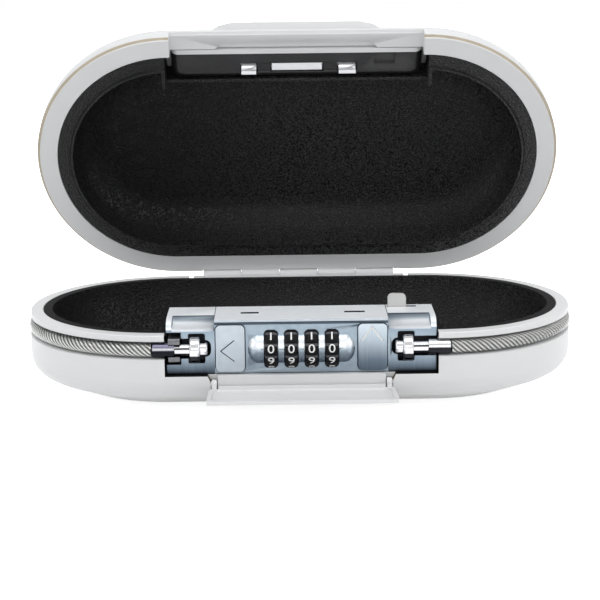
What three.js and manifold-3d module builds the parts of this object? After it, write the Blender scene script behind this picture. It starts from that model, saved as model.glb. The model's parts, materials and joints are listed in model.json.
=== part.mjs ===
// Portable car safe, standing open: a flat two-shell box with rounded ends, a four-dial lock in a
// cast metal body at the front, a fold-down door over the dials and a steel cable wrapped around it.
// Millimetres, +X to the right, +Z up, front towards -Y. The origin is the centre of the underside.

import * as THREE from 'three';
import { mergeVertices } from 'three/addons/utils/BufferGeometryUtils.js';
import Module from 'manifold-3d';

const wasm = await Module();
wasm.setup();

// Shell
const WIDTH = 240;
const DEPTH = 125;
const BASE_HEIGHT = 36.2;
const LID_HEIGHT = 23.8;
const WALL = 2.2;
const LINER_WALL = 1.5;
const GAP = 0.3;
const HEIGHT = BASE_HEIGHT + LID_HEIGHT;
const END_STEPS = 16;

// Rounded edge of both shells: a shoulder arc, a straight slope and a blend into the flat face
const SHOULDER_HEIGHT = 17;
const SHOULDER_RADIUS = 9;
const SLOPE_ANGLE = THREE.MathUtils.degToRad(22);
const FLAT_INSET = 32;
const BLEND_RADIUS = 25;

// Rims
const BASE_RIM_WIDTH = 5.8;
const LID_RIM_WIDTH = 9.3;
const RIM_THICKNESS = 2.6;
const RIM_STEP = 1.2;
const RING_WIDTH = 5.3;

// Cable and its groove
const CABLE_DIAMETER = 6;
const CABLE_INSET = 2.4;
const CABLE_Z = BASE_HEIGHT - 6.4;
const CABLE_STEPS = 56;
const CABLE_SIDES = 10;

// Cable end fittings, measured from the middle of the safe
const TIP_START = 38.8;
const COLLAR_START = 41.8;
const NECK_START = 46.2;
const FERRULE_START = 52.4;
const FERRULE_END = 61.6;
const TIP_RADIUS = 2.9;
const COLLAR_RADIUS = 5.4;
const NECK_RADIUS = 2.4;
const FERRULE_RADIUS = 3.2;

// Lock
const LOCK_HALF_WIDTH = 56;
const LOCK_CLEARANCE = 0.6;
const LOCK_BOTTOM = BASE_HEIGHT - 17.1;
const LOCK_TOP = BASE_HEIGHT + 5.4;
const LOCK_DEPTH = 26;
const FACE_SETBACK = 4;
const CENTRE_HALF_WIDTH = 36;
const LEDGE_DROP = 3.4;
const LEDGE_DEPTH = 10;
const CHEEK_WIDTH = 2.3;
const PLATE_THICKNESS = 0.9;
const BACK_PLATE_THICKNESS = 1;
const LOCK_WALL_THICKNESS = 3;
const SHELF_THICKNESS = 2.2;

// Dials
const DIAL_COUNT = 4;
const DIAL_PITCH = 8.4;
const DIAL_WIDTH = 5.3;
const DIAL_RADIUS = 8.8;
const DIAL_CROWN = 1.4;
const DIAL_PROUD = 4.7;
const DIAL_Z = BASE_HEIGHT - 7;
const DIAL_DIGITS = 10;
const NOTCH_RADIUS = 0.9;
const SLEEVE_RADIUS = 4;
const SPINDLE_RADIUS = 2.3;
const BARREL_RADIUS = 7.2;

// Buttons and what they move
const BUTTON_X = CENTRE_HALF_WIDTH - 6.5;
const BUTTON_WIDTH = 12;
const BUTTON_THICKNESS = 4.6;
const BUTTON_PROUD = 1.1;
const BUTTON_CORNER = 2;
const BUTTON_TRAVEL = 2;
const JAW_TRAVEL = 1.6;
const BUTTON_FRAME = 0.8;
const ENGRAVING = 0.4;
const BARREL_HALF_WIDTH = BUTTON_X - BUTTON_WIDTH / 2 - GAP - 0.1;

// Latch between lid and lock
const STRIKE_SETBACK = 17.6;
const STRIKE_THICKNESS = 1.6;
const STRIKE_LENGTH = 4.4;
const STRIKE_LEFT = [11.2 - CENTRE_HALF_WIDTH, 17.8 - CENTRE_HALF_WIDTH];
const STRIKE_RIGHT = [CENTRE_HALF_WIDTH - 17.2, CENTRE_HALF_WIDTH - 9.6];
const STRIKE_PAD = [-11.2, 11.4];
const CATCH_DEPTH = 2.2;
const MOULDING_HEIGHT = 5;
const MOULDING_DEPTH = 14.4;
const MOULDING_SKIRT = 2.6;

// Door over the dials
const DOOR_HALF_WIDTH = 38.5;
const DOOR_BOTTOM = LOCK_BOTTOM - 4.5;
const DOOR_TOP = LOCK_TOP + 5.4;
const DOOR_CORNER = 5.3;
const DOOR_THICKNESS = 2;
const DOOR_OFFSET = 1.2;
const DOOR_PIVOT_INSET = 1.6;
const DOOR_PIVOT_Z = DOOR_BOTTOM + 0.6;
const DOOR_OPEN = THREE.MathUtils.degToRad(84);
const ARM_START = 35.2;
const ARM_WIDTH = 2.2;
const ARM_GAP_FLARE = 1.9;
const DOOR_PIN_RADIUS = 0.8;
const DOOR_PIN_REACH = 4.1;

// Lid hinge
const HINGE_OFFSET = 1.1;
const HINGE_RADIUS = 2.2;
const HINGE_PIN_RADIUS = 1;
const HINGE_HALF_LENGTH = 46;
const KNUCKLES = 5;
const LID_OPEN = THREE.MathUtils.degToRad(67);

// Hood on the lid above the door
const HOOD_HALF_WIDTH = 37.5;
const HOOD_SHOULDER = 9;

// Places that follow from the sizes above
const FRONT = -DEPTH / 2;
const LID_BOTTOM = BASE_HEIGHT + GAP;
const STRAIGHT = (WIDTH - DEPTH) / 2;
const CABLE_RADIUS = CABLE_DIAMETER / 2;
const CABLE_Y = FRONT + CABLE_INSET;
const GROOVE_HALF = FERRULE_RADIUS + GAP;
const GROOVE_DEPTH = CABLE_INSET + FERRULE_RADIUS + GAP;
const FACE_Y = FRONT + FACE_SETBACK;
const LOCK_BACK = FACE_Y + LOCK_DEPTH;
const HOUSING_TOP = LOCK_TOP - PLATE_THICKNESS - GAP;
const BACK_PLATE_Y = LOCK_BACK + GAP;
const LOCK_WALL_Y = BACK_PLATE_Y + BACK_PLATE_THICKNESS + GAP;
const BAY_Y = LOCK_WALL_Y + LOCK_WALL_THICKNESS + GAP;
const OPENING_HALF = LOCK_HALF_WIDTH + LOCK_CLEARANCE;
const DIAL_Y = FACE_Y - DIAL_PROUD + DIAL_RADIUS;
const SLOT_WIDTH = DIAL_WIDTH + 0.6;
const NOTCH_TOP = LOCK_TOP + 0.4;
const STRIKE_Y = FRONT + STRIKE_SETBACK;
const MOULDING_FRONT = FRONT + LID_RIM_WIDTH - 0.8;
const MOULDING_BACK = MOULDING_FRONT + MOULDING_DEPTH;
const LID_BAY_Y = MOULDING_BACK + GAP;
const DOOR_BACK = FRONT - DOOR_OFFSET;
const DOOR_FRONT = DOOR_BACK - DOOR_THICKNESS;
const DOOR_PIVOT_Y = FRONT + DOOR_PIVOT_INSET;
const DOOR_LIP_Y = FRONT + 0.9;
const HINGE_Y = DEPTH / 2 + HINGE_OFFSET;
const HINGE_Z = (BASE_HEIGHT + LID_BOTTOM) / 2;
const MECHANISM_Y = FACE_Y + 10.9;
const BUTTON_POCKET_BACK = MECHANISM_Y - 1.4;
const BUTTON_BACK = FACE_Y - BUTTON_PROUD + BUTTON_THICKNESS;
const BUTTON_Z = (LOCK_BOTTOM + HOUSING_TOP) / 2;
const BUTTON_HEIGHT = HOUSING_TOP - LOCK_BOTTOM - 2 * BUTTON_FRAME;
const FAR = 200;

// Finishes
const FINISHES = {
  whiteShell: { color: 0xdedfe0, roughness: 0.42, metalness: 0 },
  blackLiner: { color: 0x1b1c1e, roughness: 0.85, metalness: 0 },
  blackPlastic: { color: 0x151618, roughness: 0.5, metalness: 0 },
  zincCasting: { color: 0xafb9c6, roughness: 0.38, metalness: 0.85 },
  steel: { color: 0xa9adb2, roughness: 0.3, metalness: 0.95 },
  chrome: { color: 0x8f9398, roughness: 0.16, metalness: 1 },
  brass: { color: 0xb08d4a, roughness: 0.35, metalness: 0.9 },
  dialBlack: { color: 0x1a1b1d, roughness: 0.45, metalness: 0 },
  greyPlastic: { color: 0xb9bdc2, roughness: 0.5, metalness: 0 },
  coatedCable: { color: 0x9aa0a6, roughness: 0.25, metalness: 0.4 },
};

const safe = new THREE.Group();

function addPiece(name, finish, solid) {
  const mesh = new THREE.Mesh(toGeometry(solid), new THREE.MeshStandardMaterial(FINISHES[finish]));
  mesh.name = name;
  safe.add(mesh);
  return mesh;
}

// Solids: every shape is a closed mesh, joined and cut as a solid and given back as a geometry
function toSolid(geometry) {
  const bare = new THREE.BufferGeometry();
  bare.setAttribute('position', geometry.getAttribute('position').clone());
  if (geometry.index) bare.setIndex(geometry.index.clone());
  const merged = mergeVertices(bare, 1e-4);
  return new wasm.Manifold(new wasm.Mesh({
    numProp: 3,
    vertProperties: new Float32Array(merged.getAttribute('position').array),
    triVerts: new Uint32Array(merged.index.array),
  }));
}

function toGeometry(solid) {
  const mesh = solid.getMesh();
  const geometry = new THREE.BufferGeometry();
  const points = new Float32Array(mesh.numVert * 3);
  for (let i = 0; i < mesh.numVert; i += 1) {
    for (let axis = 0; axis < 3; axis += 1) {
      points[3 * i + axis] = mesh.vertProperties[mesh.numProp * i + axis];
    }
  }
  geometry.setAttribute('position', new THREE.BufferAttribute(points, 3));
  geometry.setIndex(Array.from(mesh.triVerts));
  geometry.computeVertexNormals();
  return geometry;
}

const join = (...solids) => solids.reduce((whole, solid) => whole.add(solid));
const cut = (solid, ...tools) => tools.reduce((rest, tool) => rest.subtract(tool), solid);

// A box from its lowest to its highest corner
function box(x0, x1, y0, y1, z0, z1) {
  const geometry = new THREE.BoxGeometry(x1 - x0, y1 - y0, z1 - z0);
  geometry.translate((x0 + x1) / 2, (y0 + y1) / 2, (z0 + z1) / 2);
  return toSolid(geometry);
}

// A round bar along X, Y or Z between two places on that axis
function bar(axis, radius, start, end, a, b, sides = 20) {
  const geometry = new THREE.CylinderGeometry(radius, radius, end - start, sides);
  const middle = (start + end) / 2;
  if (axis === 'x') {
    geometry.rotateZ(Math.PI / 2);
    geometry.translate(middle, a, b);
  } else if (axis === 'y') {
    geometry.translate(a, middle, b);
  } else {
    geometry.rotateX(Math.PI / 2);
    geometry.translate(a, b, middle);
  }
  return toSolid(geometry);
}

// A (y, z) outline drawn out along X
function alongX(points, x0, x1) {
  const shape = new THREE.Shape(points.map(([y, z]) => new THREE.Vector2(y, z)));
  const geometry = new THREE.ExtrudeGeometry(shape, { depth: x1 - x0, bevelEnabled: false });
  geometry.applyMatrix4(new THREE.Matrix4().set(0, 0, 1, x0, 1, 0, 0, 0, 0, 1, 0, 0, 0, 0, 0, 1));
  return toSolid(geometry);
}

// An (x, y) outline drawn out along Z
function alongZ(points, z0, z1) {
  const shape = new THREE.Shape(points.map(([x, y]) => new THREE.Vector2(x, y)));
  const geometry = new THREE.ExtrudeGeometry(shape, { depth: z1 - z0, bevelEnabled: false });
  geometry.translate(0, 0, z0);
  return toSolid(geometry);
}

// An (x, z) outline drawn out along Y
function alongY(points, y0, y1) {
  const shape = new THREE.Shape(points.map(([x, z]) => new THREE.Vector2(x, z)));
  const geometry = new THREE.ExtrudeGeometry(shape, { depth: y1 - y0, bevelEnabled: false });
  geometry.rotateX(Math.PI / 2);
  geometry.translate(0, y1, 0);
  return toSolid(geometry);
}

// A rounded rectangle in the (x, z) plane drawn out along Y
function roundedPad(xMiddle, zMiddle, width, height, corner, y0, y1, steps = 5) {
  const w = width / 2;
  const h = height / 2;
  const shape = new THREE.Shape();
  shape.moveTo(-w + corner, -h);
  shape.absarc(w - corner, -h + corner, corner, -Math.PI / 2, 0);
  shape.absarc(w - corner, h - corner, corner, 0, Math.PI / 2);
  shape.absarc(-w + corner, h - corner, corner, Math.PI / 2, Math.PI);
  shape.absarc(-w + corner, -h + corner, corner, Math.PI, 1.5 * Math.PI);
  const options = { depth: y1 - y0, bevelEnabled: false, curveSegments: steps };
  const geometry = new THREE.ExtrudeGeometry(shape, options);
  geometry.rotateX(Math.PI / 2);
  geometry.translate(xMiddle, y1, zMiddle);
  return toSolid(geometry);
}

// Rings of equally many points skinned into one solid; capAxes names the two axes of the end caps
function skin(rings, capAxes) {
  const count = rings[0].length;
  const positions = rings.flat().flatMap((p) => [p.x, p.y, p.z]);
  const index = [];
  for (let r = 0; r < rings.length - 1; r += 1) {
    for (let i = 0; i < count; i += 1) {
      const a = r * count + i;
      const b = r * count + ((i + 1) % count);
      index.push(a, b, b + count);
      index.push(a, b + count, a + count);
    }
  }
  const last = (rings.length - 1) * count;
  const flat = (ring) => ring.map((p) => new THREE.Vector2(p[capAxes[0]], p[capAxes[1]]));
  for (const [a, b, c] of THREE.ShapeUtils.triangulateShape(flat(rings[0]), [])) index.push(c, b, a);
  for (const [a, b, c] of THREE.ShapeUtils.triangulateShape(flat(rings.at(-1)), [])) {
    index.push(last + a, last + b, last + c);
  }
  const geometry = new THREE.BufferGeometry();
  geometry.setAttribute('position', new THREE.Float32BufferAttribute(positions, 3));
  geometry.setIndex(index);
  return toSolid(geometry);
}

// The safe's outline at one height: two straight sides and two round ends, drawn in by an inset
function outline(inset, z) {
  const radius = DEPTH / 2 - inset;
  const points = [];
  for (const end of [1, -1]) {
    for (let i = 0; i <= END_STEPS; i += 1) {
      const angle = -Math.PI / 2 + (Math.PI * i) / END_STEPS;
      const x = end * (STRAIGHT + radius * Math.cos(angle));
      points.push(new THREE.Vector3(x, end * radius * Math.sin(angle), z));
    }
  }
  return points;
}

const loft = (levels) => skin(levels.map(([inset, z]) => outline(inset, z)), ['x', 'y']);

// The rounded edge as [inset, distance from the flat face], from the side wall to the flat,
// moved inwards by an offset and kept at least as far in as the smallest inset
function roundedEdge(offset = 0, smallest = 0) {
  const levels = [];
  const turn = Math.PI / 2 - SLOPE_ANGLE;
  const shoulder = SHOULDER_RADIUS - offset;
  const blend = BLEND_RADIUS - offset;
  for (let i = 0; i <= 4; i += 1) {
    const angle = (turn * i) / 4;
    const inset = SHOULDER_RADIUS - shoulder * Math.cos(angle);
    levels.push([Math.max(inset, smallest), SHOULDER_HEIGHT - shoulder * Math.sin(angle)]);
  }
  for (let i = 2; i >= 0; i -= 1) {
    const angle = (SLOPE_ANGLE * i) / 2;
    const inset = FLAT_INSET - blend * Math.sin(angle);
    levels.push([Math.max(inset, smallest), BLEND_RADIUS - blend * Math.cos(angle)]);
  }
  return levels;
}

const fromBottom = (offset, smallest) => roundedEdge(offset, smallest).reverse();
const fromTop = (offset, smallest) => roundedEdge(offset, smallest).map(([i, d]) => [i, HEIGHT - d]);

// Opens the lid about its hinge and folds the door down, both to where they stand at rest
function asOpened(mesh, y, z, angle) {
  const pivot = new THREE.Group();
  pivot.position.set(0, y, z);
  pivot.rotation.x = angle;
  mesh.position.set(0, -y, -z);
  pivot.add(mesh);
  safe.add(pivot);
}
const openLid = (mesh) => asOpened(mesh, HINGE_Y, HINGE_Z, -LID_OPEN);
const openDoor = (mesh) => asOpened(mesh, DOOR_PIVOT_Y, DOOR_PIVOT_Z, DOOR_OPEN);

// Lid hinge: moulded knuckles behind the straight rear wall, alternately on the base and the lid
const KNUCKLE_PITCH = (2 * HINGE_HALF_LENGTH) / KNUCKLES;
const HINGE_BORE = HINGE_PIN_RADIUS + GAP;

function knuckle(index, arm) {
  const x0 = -HINGE_HALF_LENGTH + index * KNUCKLE_PITCH + GAP / 2;
  const x1 = x0 + KNUCKLE_PITCH - GAP;
  return join(bar('x', HINGE_RADIUS, x0, x1, HINGE_Y, HINGE_Z), alongX(arm, x0, x1));
}

const hingeBore = bar('x', HINGE_BORE, -FAR, FAR, HINGE_Y, HINGE_Z, 16);
const hingeRelief = box(
  -HINGE_HALF_LENGTH - GAP, HINGE_HALF_LENGTH + GAP,
  HINGE_Y - HINGE_RADIUS - GAP, FAR,
  HINGE_Z - HINGE_RADIUS - GAP, HINGE_Z + HINGE_RADIUS + GAP,
);
const REAR_WALL = DEPTH / 2 - WALL + 0.2;
const ARM_ROOT = DEPTH / 2 - 4;
const baseArm = [
  [ARM_ROOT, CABLE_Z + GROOVE_HALF + GAP],
  [REAR_WALL, CABLE_Z + GROOVE_HALF + GAP],
  [HINGE_Y + HINGE_RADIUS * 0.7, HINGE_Z - HINGE_RADIUS * 0.7],
  [HINGE_Y - HINGE_RADIUS * 0.95, HINGE_Z],
  [ARM_ROOT, HINGE_Z - 0.4],
];
const lidArm = baseArm.map(([y, z]) => [y, 2 * HINGE_Z - z]);

// Base shell
const GROOVE_LOW = CABLE_Z - GROOVE_HALF;
const GROOVE_HIGH = CABLE_Z + GROOVE_HALF;
const GROOVE_WALL = GROOVE_DEPTH + WALL;
const LINER_SEAT = BASE_HEIGHT - 1.2;

// Each door pin starts inside its arm and ends in the base's wall beyond it
function doorPinEnds(side, room) {
  const near = side * (ARM_START + 0.1 - room);
  const far = side * (ARM_START + ARM_WIDTH + DOOR_PIN_REACH + room);
  return [Math.min(near, far), Math.max(near, far)];
}

function makeBaseShell() {
  const body = loft([
    ...fromBottom(),
    [0, GROOVE_LOW - 0.4],
    [0.4, GROOVE_LOW],
    [GROOVE_DEPTH, GROOVE_LOW],
    [GROOVE_DEPTH, GROOVE_HIGH],
    [0.5, GROOVE_HIGH + GAP],
    [0.5, BASE_HEIGHT - 0.4],
    [0.9, BASE_HEIGHT],
  ]);
  const cavity = loft([
    ...fromBottom(WALL),
    [WALL, GROOVE_LOW - WALL - 3],
    [GROOVE_WALL, GROOVE_LOW - WALL],
    [GROOVE_WALL, HEIGHT],
  ]);
  const linerSeat = loft([[BASE_RIM_WIDTH, LINER_SEAT], [BASE_RIM_WIDTH, HEIGHT]]);
  const front = box(-OPENING_HALF, OPENING_HALF, -FAR, BAY_Y, LOCK_BOTTOM - GAP, HEIGHT);
  const shelfLow = LOCK_BOTTOM - GAP - SHELF_THICKNESS;
  const inWall = FRONT + WALL / 2;
  const shelf = box(-OPENING_HALF, OPENING_HALF, inWall, BAY_Y - GAP, shelfLow, LOCK_BOTTOM - GAP);
  const lockWall = box(
    -OPENING_HALF, OPENING_HALF, LOCK_WALL_Y, BAY_Y - GAP, WALL / 2, BASE_HEIGHT - 2,
  );
  const ribs = [-0.75, 0, 0.75].map((share) => {
    const x = share * LOCK_HALF_WIDTH;
    return box(x - 1, x + 1, FRONT + 12, LOCK_WALL_Y + 1, WALL, shelfLow + 1);
  });
  const slots = [
    box(GAP - ARM_START, ARM_START - GAP, -FAR, DOOR_LIP_Y + GAP, LOCK_BOTTOM - 8, LOCK_BOTTOM + 1),
  ];
  const bosses = [];
  for (const side of [-1, 1]) {
    const inner = side * (ARM_START - GAP);
    const outer = side * (ARM_START + ARM_WIDTH + GAP);
    slots.push(alongY([
      [inner, DOOR_PIVOT_Z - 3.5],
      [outer, DOOR_PIVOT_Z - 3.5],
      [outer, DOOR_PIVOT_Z + 1],
      [outer + side * ARM_GAP_FLARE, LOCK_BOTTOM + 1],
      [inner, LOCK_BOTTOM + 1],
    ], -FAR, DOOR_PIVOT_Y + 2.3));
    const middle = side * (ARM_START + ARM_WIDTH / 2);
    bosses.push(box(
      middle - 6, middle + 6,
      FRONT + WALL / 2 + 0.6, DOOR_PIVOT_Y + 2.2, DOOR_PIVOT_Z - 2.3, shelfLow + 1,
    ));
    const [holeStart, holeEnd] = doorPinEnds(side, GAP);
    slots.push(bar('x', DOOR_PIN_RADIUS + GAP, holeStart, holeEnd, DOOR_PIVOT_Y, DOOR_PIVOT_Z, 12));
  }
  let knuckles = knuckle(0, baseArm);
  for (let i = 2; i < KNUCKLES; i += 2) knuckles = knuckles.add(knuckle(i, baseArm));
  const shell = cut(body, cavity, linerSeat, front, hingeRelief);
  const inside = loft([...fromBottom(WALL / 2), [WALL / 2, BASE_HEIGHT]]);
  const fittings = join(shelf, lockWall, ...ribs, ...bosses).intersect(inside);
  return cut(join(shell, fittings, knuckles), hingeBore, ...slots, ...lockScrewHoles());
}

// The lock is screwed from inside to the upright wall behind it
const SCREW_RADIUS = 1.2;
const SCREW_HEAD_RADIUS = 2.4;
const SCREW_HEIGHTS = [BASE_HEIGHT - 11, BASE_HEIGHT - 1];
const SCREW_PLACES = [-1, 1].flatMap((side) => SCREW_HEIGHTS.map((z) => [side * (LOCK_HALF_WIDTH - 4.5), z]));
const SCREW_END = LOCK_BACK - 6.5;

function lockScrewHoles() {
  return SCREW_PLACES.flatMap(([x, z]) => [
    bar('y', SCREW_RADIUS + GAP, SCREW_END - 0.5, FAR, x, z, 12),
    bar('y', SCREW_HEAD_RADIUS + GAP, LOCK_WALL_Y + 1.2, BAY_Y, x, z, 12),
  ]);
}

function makeLockScrew([x, z]) {
  const headFace = LOCK_WALL_Y + 1.2 + GAP;
  return join(
    bar('y', SCREW_RADIUS, SCREW_END, headFace + 0.5, x, z, 12),
    bar('y', SCREW_HEAD_RADIUS, headFace, headFace + 1.2, x, z, 12),
  );
}

// Base liner: a thin tub hung on the rim, with a step around the lock
function makeBaseLiner() {
  const outer = GROOVE_WALL + GAP;
  const inner = outer + LINER_WALL;
  const bay = box(-OPENING_HALF - 1, OPENING_HALF + 1, -FAR, BAY_Y, -1, FAR);
  const grown = OPENING_HALF + 1 + LINER_WALL;
  const grownBay = box(-grown, grown, -FAR, BAY_Y + LINER_WALL, -1, FAR);
  const floor = WALL + GAP;
  const tub = join(
    loft([...fromBottom(floor, outer), [outer, BASE_HEIGHT]]),
    loft([[BASE_RIM_WIDTH + GAP, LINER_SEAT + GAP], [BASE_RIM_WIDTH + GAP, BASE_HEIGHT]]),
  );
  const hollow = loft([...fromBottom(floor + LINER_WALL, inner), [inner, HEIGHT]]);
  const low = box(-OPENING_HALF - 4, OPENING_HALF + 4, -FAR, BAY_Y + 3, LINER_SEAT, FAR);
  return cut(tub, bay, low, cut(hollow, grownBay), hingeRelief);
}

// Lock housing: a casting with a raised middle, two wings for the cable ends and a barrel for the dials
const dialPlace = (index) => (index - (DIAL_COUNT - 1) / 2) * DIAL_PITCH;
const WING_POCKET_BACK = CABLE_Y + COLLAR_RADIUS + 1.9;
const COLLAR_POCKET = [COLLAR_START - 1.9, NECK_START + 0.7];
const COLLAR_POCKET_HALF = 6.3;
const TIP_POCKET_HALF = 3.5;
const CHANNEL_HALF = 4.2;
const JAW_X = [50.2, 55];
const JAW_GAP = FERRULE_RADIUS + GAP;
const JAW_HEIGHT = 1.5;
const ARM_HALF = 4.2;
const MECHANISM_HALF = CENTRE_HALF_WIDTH - 1.5;

function makeBarrel() {
  const straight = BARREL_HALF_WIDTH - 5;
  const profile = [[0, -BARREL_HALF_WIDTH]];
  for (let i = 1; i <= 5; i += 1) {
    const angle = (Math.PI / 2) * (i / 5);
    profile.push([BARREL_RADIUS * Math.sin(angle), -straight - 5 * Math.cos(angle)]);
  }
  const mirrored = profile.map(([radius, x]) => [radius, -x]).reverse();
  const points = [...profile, ...mirrored].map(([radius, x]) => new THREE.Vector2(radius, x));
  const geometry = new THREE.LatheGeometry(points, 20);
  geometry.rotateZ(-Math.PI / 2);
  geometry.translate(0, DIAL_Y, DIAL_Z);
  return toSolid(geometry);
}

// One wing seen from its end: top, step down, and a rolled edge into the front face
const WING_STEP_Y = FACE_Y + LEDGE_DEPTH;
const WING_PROFILE = [
  [LOCK_BACK, LOCK_BOTTOM],
  [LOCK_BACK, LOCK_TOP],
  [WING_STEP_Y, LOCK_TOP],
  [WING_STEP_Y, LOCK_TOP - LEDGE_DROP],
  [FACE_Y + 1.6, LOCK_TOP - LEDGE_DROP - 0.1],
  [FACE_Y + 0.4, LOCK_TOP - LEDGE_DROP - 0.5],
  [FACE_Y, LOCK_TOP - LEDGE_DROP - 1.3],
  [FACE_Y, LOCK_BOTTOM],
];
const CHEEK_PROFILE = [
  [LOCK_BACK + 0.1, LOCK_BOTTOM + 1],
  [LOCK_BACK + 0.1, LOCK_TOP],
  [FACE_Y + 6.5, LOCK_TOP],
  [FACE_Y + 3.4, LOCK_TOP - 0.6],
  [FACE_Y + 1.2, LOCK_TOP - 1.9],
  [FACE_Y, LOCK_TOP - 3.9],
  [FACE_Y, LOCK_BOTTOM + 1],
];

function makeWing(side) {
  const between = (a, b) => [Math.min(side * a, side * b), Math.max(side * a, side * b)];
  const wing = alongX(WING_PROFILE, ...between(CENTRE_HALF_WIDTH + GAP, LOCK_HALF_WIDTH));
  const cheek = alongX(CHEEK_PROFILE, ...between(LOCK_HALF_WIDTH - CHEEK_WIDTH, LOCK_HALF_WIDTH));
  const [x0, x1] = between(CENTRE_HALF_WIDTH - 0.5, CENTRE_HALF_WIDTH + 1);
  const root = box(x0, x1, FACE_Y, LOCK_BACK, LOCK_BOTTOM, LOCK_TOP - LEDGE_DROP - 1.3);
  return join(wing, cheek, root);
}

// Pocket in a wing: room for the collar, a narrow rounded end for the tip and a channel outwards
function wingPocket(side) {
  const [c0, c1] = COLLAR_POCKET;
  const depth = [FACE_Y - 5, WING_POCKET_BACK];
  const collar = roundedPad(side * (c0 + c1) / 2, CABLE_Z, c1 - c0, 2 * COLLAR_POCKET_HALF, 0.8, ...depth, 3);
  const tipStart = TIP_START - 1.3;
  const tipMiddle = side * (tipStart + c0 + 2.6) / 2;
  const tip = roundedPad(tipMiddle, CABLE_Z, c0 + 2.6 - tipStart, 2 * TIP_POCKET_HALF, 2.3, ...depth, 4);
  const ends = [side * (c1 - 0.3), side * (LOCK_HALF_WIDTH + 1)];
  const channel = box(
    Math.min(...ends), Math.max(...ends), ...depth, CABLE_Z - CHANNEL_HALF, CABLE_Z + CHANNEL_HALF,
  );
  return join(collar, tip, channel);
}

// A dial's round form with rounded edges, drawn larger by a clearance for its slot
function dialForm(index, clearance, corners) {
  const x = dialPlace(index);
  const half = DIAL_WIDTH / 2 + clearance;
  const rounding = clearance > 0 ? [[-half + 0.4, 0.42]] : [];
  const stations = [[-half, 1], ...rounding, [-half + DIAL_CROWN, 0]];
  const mirrored = stations.map(([place, drop]) => [-place, drop]).reverse();
  return skin([...stations, ...mirrored].map(([place, drop]) => corners.map(([share, angle]) => {
    const radius = DIAL_RADIUS * share + (clearance > 0 ? clearance + 0.05 : 0) - drop * DIAL_CROWN;
    return new THREE.Vector3(
      x + place, DIAL_Y + radius * Math.cos(angle), DIAL_Z + radius * Math.sin(angle),
    );
  })), ['y', 'z']);
}

function makeLockHousing() {
  const centre = box(-CENTRE_HALF_WIDTH, CENTRE_HALF_WIDTH, FACE_Y, LOCK_BACK, LOCK_BOTTOM, HOUSING_TOP);
  const tools = [];
  const circle = Array.from({ length: 20 }, (_, i) => [1, (2 * Math.PI * i) / 20]);
  for (let i = 0; i < DIAL_COUNT; i += 1) tools.push(dialForm(i, GAP, circle));
  const lastSlot = dialPlace(DIAL_COUNT - 1) + SLOT_WIDTH / 2;
  const pocketHalf = BUTTON_WIDTH / 2 + GAP;
  const boreEnds = [-BUTTON_X + pocketHalf + 1, BUTTON_X - pocketHalf / 2];
  tools.push(bar('x', SPINDLE_RADIUS + GAP, ...boreEnds, DIAL_Y, DIAL_Z));
  tools.push(bar('x', SPRING_POCKET_RADIUS, lastSlot - 0.1, DIAL_SPRING_END + GAP, DIAL_Y, DIAL_Z));
  tools.push(box(-MECHANISM_HALF, MECHANISM_HALF, MECHANISM_Y, FAR, LOCK_BOTTOM + 2, FAR));
  for (const side of [-1, 1]) {
    tools.push(roundedPad(
      side * BUTTON_X, BUTTON_Z, BUTTON_WIDTH + 2 * GAP, BUTTON_HEIGHT + 2 * GAP, BUTTON_CORNER + GAP,
      FACE_Y - 5, BUTTON_POCKET_BACK,
    ));
    tools.push(wingPocket(side));
  }
  // Right button: way for its stem. Left button: way for its stem and for the arms of the jaws
  tools.push(box(
    LATCH_STEM[0] - 0.4, LATCH_STEM[1] + 0.4, BUTTON_POCKET_BACK - 1, MECHANISM_Y + 1,
    STEM_Z[0] - 0.4, STEM_Z[1] + 0.4,
  ));
  tools.push(box(
    -LATCH_STEM[1] - 0.4, -LATCH_STEM[0] + 0.4, BUTTON_POCKET_BACK - 1, MECHANISM_Y + 1,
    CABLE_Z - STEM_HALF - 0.4, CABLE_Z + STEM_HALF + 0.4,
  ));
  const jawReach = JAW_GAP + JAW_HEIGHT + JAW_TRAVEL + 0.2;
  const armReach = ARM_HALF + JAW_TRAVEL + GAP;
  tools.push(box(
    -LOCK_HALF_WIDTH - 1, -JAW_X[0] + GAP, FACE_Y - 5, ARM_BACK + GAP, CABLE_Z - jawReach, CABLE_Z + jawReach,
  ));
  tools.push(box(
    -JAW_X[1] - GAP, -MECHANISM_HALF + 1, MECHANISM_Y, ARM_BACK + GAP, CABLE_Z - armReach, CABLE_Z + armReach,
  ));
  // Slot for the reset tab in the right wing
  tools.push(box(
    TAB_X - TAB_WIDTH / 2 - GAP, TAB_X + TAB_WIDTH / 2 + TAB_TRAVEL + GAP,
    TAB_Y - TAB_THICKNESS / 2 - GAP, TAB_Y + TAB_THICKNESS / 2 + GAP, TAB_FOOT_Z - GAP, FAR,
  ));
  return cut(join(centre, makeWing(-1), makeWing(1), makeBarrel()), ...tools, ...lockScrewHoles());
}

// Top plate with the slots for the strikes, and the plate that closes the back
function makeTopPlate() {
  const plate = box(
    -CENTRE_HALF_WIDTH, CENTRE_HALF_WIDTH, FACE_Y, LOCK_BACK, LOCK_TOP - PLATE_THICKNESS, LOCK_TOP,
  );
  const slots = [STRIKE_LEFT, STRIKE_RIGHT].map(([x0, x1]) => box(
    x0 - 0.5, x1 + 0.5,
    STRIKE_Y - STRIKE_THICKNESS / 2 - 0.6, STRIKE_Y + STRIKE_THICKNESS / 2 + 0.6, 0, FAR,
  ));
  return cut(plate, ...slots);
}

function makeBackPlate() {
  const inset = 0.4;
  const plate = box(
    -LOCK_HALF_WIDTH + inset, LOCK_HALF_WIDTH - inset,
    BACK_PLATE_Y, BACK_PLATE_Y + BACK_PLATE_THICKNESS, LOCK_BOTTOM + inset, HOUSING_TOP - inset,
  );
  return cut(plate, ...lockScrewHoles());
}

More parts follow.
